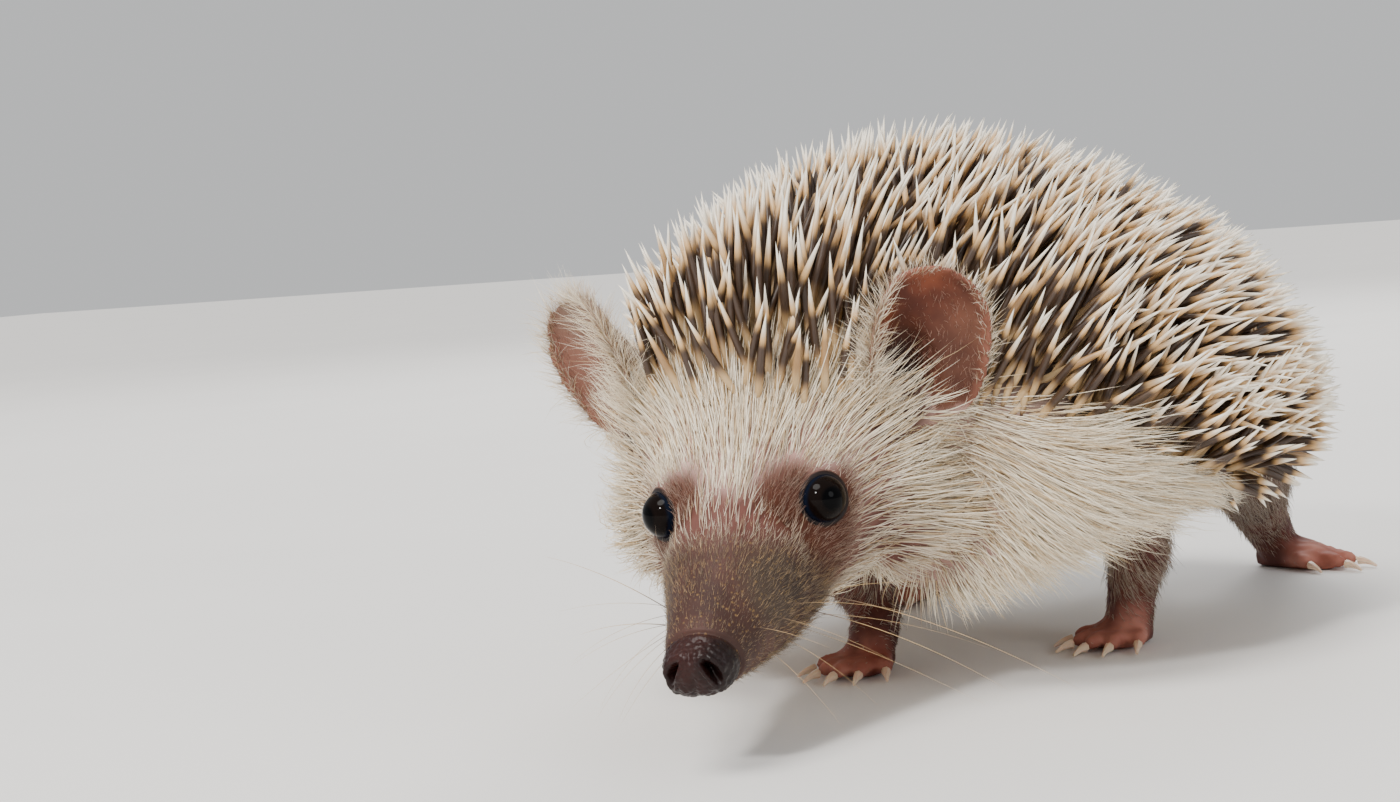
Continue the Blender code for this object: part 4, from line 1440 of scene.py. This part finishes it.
def makeSkinFinish():
    look = skinLook
    material, shader, wire = newFinish("skin", 0.6, Subsurface_Weight=0.08, Subsurface_Scale=0.0012,
                                       Subsurface_Radius=(1.0, 0.4, 0.25), Specular_IOR_Level=0.22)
    place = wire.place()
    soft = wire.noise(place, 160.0, 4.0)
    fine = wire.noise(place, 700.0, 4.0)
    speck = wire.node("ShaderNodeTexVoronoi", {"feature": "F1"}, {"Vector": place, "Scale": 1700.0})
    muzzle, rust, patch, pad, lid = wire.attributes("muzzle", "rust", "patch", "pad", "lid")
    limb, toe, ear, earTop, farEarLit = wire.attributes("limb", "toe", "ear", "earTop", "farEarLit")
    rim, innerRim, hollow, opening = wire.attributes("rim", "innerRim", "hollow", "opening")

    def mottled(name, start=0.3, end=0.7):
        return soft.step(start, end).over(*look[name])

    colour = mottled("pale", 0.35, 0.65)
    # the body, the skin under the spines, painted shade in front of the ear, and the bridge
    for name in ("body", "spiny", "earFrontShade", "bridge"):
        strength = {"spiny": 0.95}.get(name, 0.9)
        colour = (wire.attributes(name)[0] * strength).over(colour, look[name])
    colour = (rust * (0.85 + 0.15 * soft)).over(colour, look["rust"])
    muzzleSkin = (patch * 0.75).over(mottled("muzzle"), mottled("patch", 0.35, 0.65))
    colour = (muzzle * 0.97).over(colour, muzzleSkin)
    fleck = (1 - speck.step(0.14, 0.32)) * fine.step(0.38, 0.55) * muzzle
    colour = (fleck * 0.5).over(colour, look["muzzleFleck"])
    colour = limb.over(colour, toe.over(mottled("leg"), mottled("toe")))
    earSkin = (earTop * 0.95).over(mottled("ear"), mottled("earTop", 0.35, 0.65))
    earSkin = ((1 - hollow) * 0.6).over(earSkin, look["earBack"])
    earSkin = (rim * 0.45).over(earSkin, look["rim"])
    earSkin = (innerRim * 0.85).over(earSkin, look["innerRim"])
    # painted light: the far ear painted paler, as if lit through it
    earSkin = (farEarLit * 0.6).over(earSkin, look["farEarLit"])
    earSkin = (farEarLit * earTop * 0.8).over(earSkin, look["farEarLitTop"])
    # painted shade in the ear's opening, weaker on the far ear
    earSkin = (opening * (0.96 - 0.35 * farEarLit)).over(earSkin, look["opening"])
    colour = ear.over(colour, earSkin)
    colour = (lid * 0.97).over(colour, look["lid"])
    colour = pad.over(colour, mottled("pad", 0.35, 0.7))
    feed(shader, "Base Color", colour)
    feed(shader, "Roughness", 0.58 - 0.20 * pad - 0.1 * lid + 0.1 * (fine - 0.5))
    height = fine * 0.5 + (1 - speck.step(0.0, 0.35)) * muzzle * 0.7
    values = {"Strength": 0.35, "Distance": look["bumpDepth"], "Height": height}
    feed(shader, "Normal", wire.node("ShaderNodeBump", {}, values))
    return material


# edge: a painted bluish reflection round the rim of the eye
eyeLook = {"pupil": "020203", "iris": "100a08", "edge": "0d1320", "paintedReflectionStart": (56, 67), "paintedReflectionEnd": (73, 80)}


def makeEyeFinish():
    look = eyeLook
    material, shader, wire = newFinish("eyeGloss", 0.03, Specular_IOR_Level=0.06)
    fromPupil = wire.attributes("fromPupil")[0]
    colour = fromPupil.step(22, 34).over(look["pupil"], look["iris"])
    # painted reflection: a bluish ring round the rim of the eye
    edge = fromPupil.step(*look["paintedReflectionStart"]) * (1 - fromPupil.step(*look["paintedReflectionEnd"]))
    feed(shader, "Base Color", edge.over(colour, look["edge"]))
    return material


clawLook = {"horn": ("b98a68", "e6c9a8"), "tip": "efdcc4"}


def makeClawFinish():
    look = clawLook
    material, shader, wire = newFinish("clawHorn", 0.35, Subsurface_Weight=0.2, Subsurface_Scale=0.001)
    place = wire.place()
    grain = wire.noise(place, 1500.0)
    height = wire.node("ShaderNodeSeparateXYZ", {}, {"Vector": place}, 2)
    nearFloor = 1 - (height * 1000.0).step(0.4, 2.6)
    feed(shader, "Base Color", (nearFloor * 0.5).over(grain.over(*look["horn"]), look["tip"]))
    feed(shader, "Roughness", 0.3 + 0.15 * grain)
    return material


spineFinish = makeSpineFinish()
hairFinish = makeHairFinish()
skin.data.materials.append(makeSkinFinish())
eyeFinish = makeEyeFinish()
for name, centre, sign in (("left", leftEye, 1), ("right", rightEye, -1)):
    eyeBall("eye" + name.title(), centre, sign, "eye_" + name).data.materials.append(eyeFinish)
clawFinish = makeClawFinish()
for name in clawNodes:
    nodes[name].data.materials.clear()
    nodes[name].data.materials.append(clawFinish)
surface = surfaceOf(skinMesh)
say("markings placed")
buildSpines(surface)
say("spines grown")
buildHair(surface)
say("hair grown")

whiskerPlan = {
    "radius": 0.042,
    "bend": (0, 0.10, -0.22),  # drift of the tip, in lengths
    # root and the way to its tip on the head's axes, and its length
    "long": [
        ((8.7, 6.2, -8.3), (0.83, -0.10, -0.54), 30.5),
        ((7.6, 8.0, -9.0), (0.80, -0.12, -0.58), 23.5),
        ((-5.0, 12.0, -5.0), (-0.90, -0.29, 0.34), 15.7),
        ((-4.5, 13.0, -6.0), (-0.96, -0.22, -0.14), 12.0),
    ],
    "rows": 2,  # of short ones on each side
    "columns": 4,
}


def buildWhiskers():
    plan = whiskerPlan
    bend = np.array(plan["bend"])
    roots, aims, lengths = [list(values) for values in zip(*plan["long"])]
    aims = [np.array(aim) - headAxes @ bend for aim in aims]
    exact = len(roots)
    for sign in (1, -1):
        for row in range(plan["rows"]):
            for column in range(plan["columns"]):
                height = -4.8 - 2.0 * row - 0.3 * column
                roots.append((sign * (4.3 + 0.6 * column), 17.5 - 2.6 * column, height))
                drop = -0.15 - 0.45 * row + 0.3 * (rng.random() - 0.5)
                aims.append(unit([sign * 0.85, 0.15 - 0.28 * column, drop]))
                lengths.append(6 + 3.6 * column + 4 * rng.random())
    count = len(roots)
    stray = np.where(np.arange(count) < exact, 0.0, 1.0)[:, None]
    aims = headTurned(aims) + 0.10 * stray * rng.normal(size=(count, 3))
    tree = treeOf(skinMesh)
    roots = np.array([tree.find_nearest(Vector(place * toMetres))[0] for place in fromHead(roots)]) / toMetres
    t = np.linspace(0, 1, 15)[None, :, None]
    bend = bend + 0.06 * stray[:, None] * rng.normal(size=(count, 1, 3))
    along = np.array(lengths)[:, None, None] * (aims[:, None] * t + bend * t**2)
    paths = roots[:, None] - aims[:, None] * 0.3 + along
    radii = plan["radius"] * (1 - 0.85 * t[0, :, 0])[None] * (1.25 - 0.55 * stray)
    found = hairMarks(fromHead(np.tile([0, -9, 0], (count, 1))), dusky=1.0)
    coatPiece("whiskers", hairFinish, paths, radii, 6, found)


buildWhiskers()
say("whiskers placed")

viewPlan = {
    "azimuth": 28.4,
    "elevation": 4.0,
    "distance": 267.8,
    "target": (-13.8, -38.95, 35.6),
    "roll": -4.4,
    "lens": 61.7,
}

# kind, place, what it points at, width (a sun's in radians), power and colour
lightPlan = {
    "keyLight": ("SUN", (-0.12, -0.50, 0.95), (0, 0, 0.03), math.radians(28), 2.5, (1.0, 0.97, 0.93)),
    "softLight": ("AREA", (-0.05, -0.62, 0.42), (0, -0.03, 0.03), 0.08, 3.2, (1.0, 0.98, 0.96)),
    "fillLight": ("AREA", (0.80, -0.30, 0.35), (0, 0, 0.03), 0.4, 1.6, (0.95, 0.98, 1.0)),
    "rimLight": ("AREA", (-0.25, 0.7, 0.6), (0, 0, 0.03), 0.5, 3.5, (1.0, 1.0, 1.0)),
}

roomPlan = {
    "air": (0.93, 0.94, 0.95, 1),
    "airStrength": 0.68,
    "floor": ("ebe9e6", "f1efec"),
    "floorReach": 3000,
}


def makeCamera():
    azimuth = math.radians(viewPlan["azimuth"])
    elevation = math.radians(viewPlan["elevation"])
    level = math.cos(elevation)
    back = Vector((math.sin(azimuth) * level, -math.cos(azimuth) * level, math.sin(elevation)))
    right = Vector((math.cos(azimuth), math.sin(azimuth), 0))
    turn = Matrix((right, back.cross(right), back)).transposed().to_4x4()
    turn = turn @ Matrix.Rotation(math.radians(viewPlan["roll"]), 4, "Z")
    place = (Vector(viewPlan["target"]) + back * viewPlan["distance"]) * toMetres
    camera = showing(bpy.data.cameras.new("camera"), "camera")
    camera.matrix_world = Matrix.Translation(place) @ turn
    camera.data.lens = viewPlan["lens"]
    camera.data.sensor_width = 36
    camera.data.clip_start = 0.01
    bpy.context.scene.camera = camera


def makeLight(name, kind, place, aim, size, power, colour):
    data = bpy.data.lights.new(name, kind)
    if kind == "SUN":
        data.angle = size
    else:
        data.shape = "DISK"
        data.size = size
    data.energy = power
    data.color = colour
    light = showing(data, name)
    light.location = place
    light.rotation_euler = (Vector(aim) - Vector(place)).to_track_quat("-Z", "Y").to_euler()


def makeRoom():
    world = bpy.data.worlds.new("room")
    bpy.context.scene.world = world
    world.use_nodes = True
    air = world.node_tree.nodes["Background"]
    air.inputs["Color"].default_value = roomPlan["air"]
    air.inputs["Strength"].default_value = roomPlan["airStrength"]
    corners = np.array([[-1, -1, 0], [1, -1, 0], [1, 1, 0], [-1, 1, 0]]) * roomPlan["floorReach"]
    floor = showing(newMesh("floor", corners, [np.array([[0, 1, 2, 3]])]), "floor")
    finish, shader, wire = newFinish("paleFloor", 0.8, Specular_IOR_Level=0.2)
    feed(shader, "Base Color", wire.noise(wire.place(), 14.0, 2.0).over(*roomPlan["floor"]))
    floor.data.materials.append(finish)


makeCamera()
for name, settings in lightPlan.items():
    makeLight(name, *settings)
makeRoom()

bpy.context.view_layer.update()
say("finished")
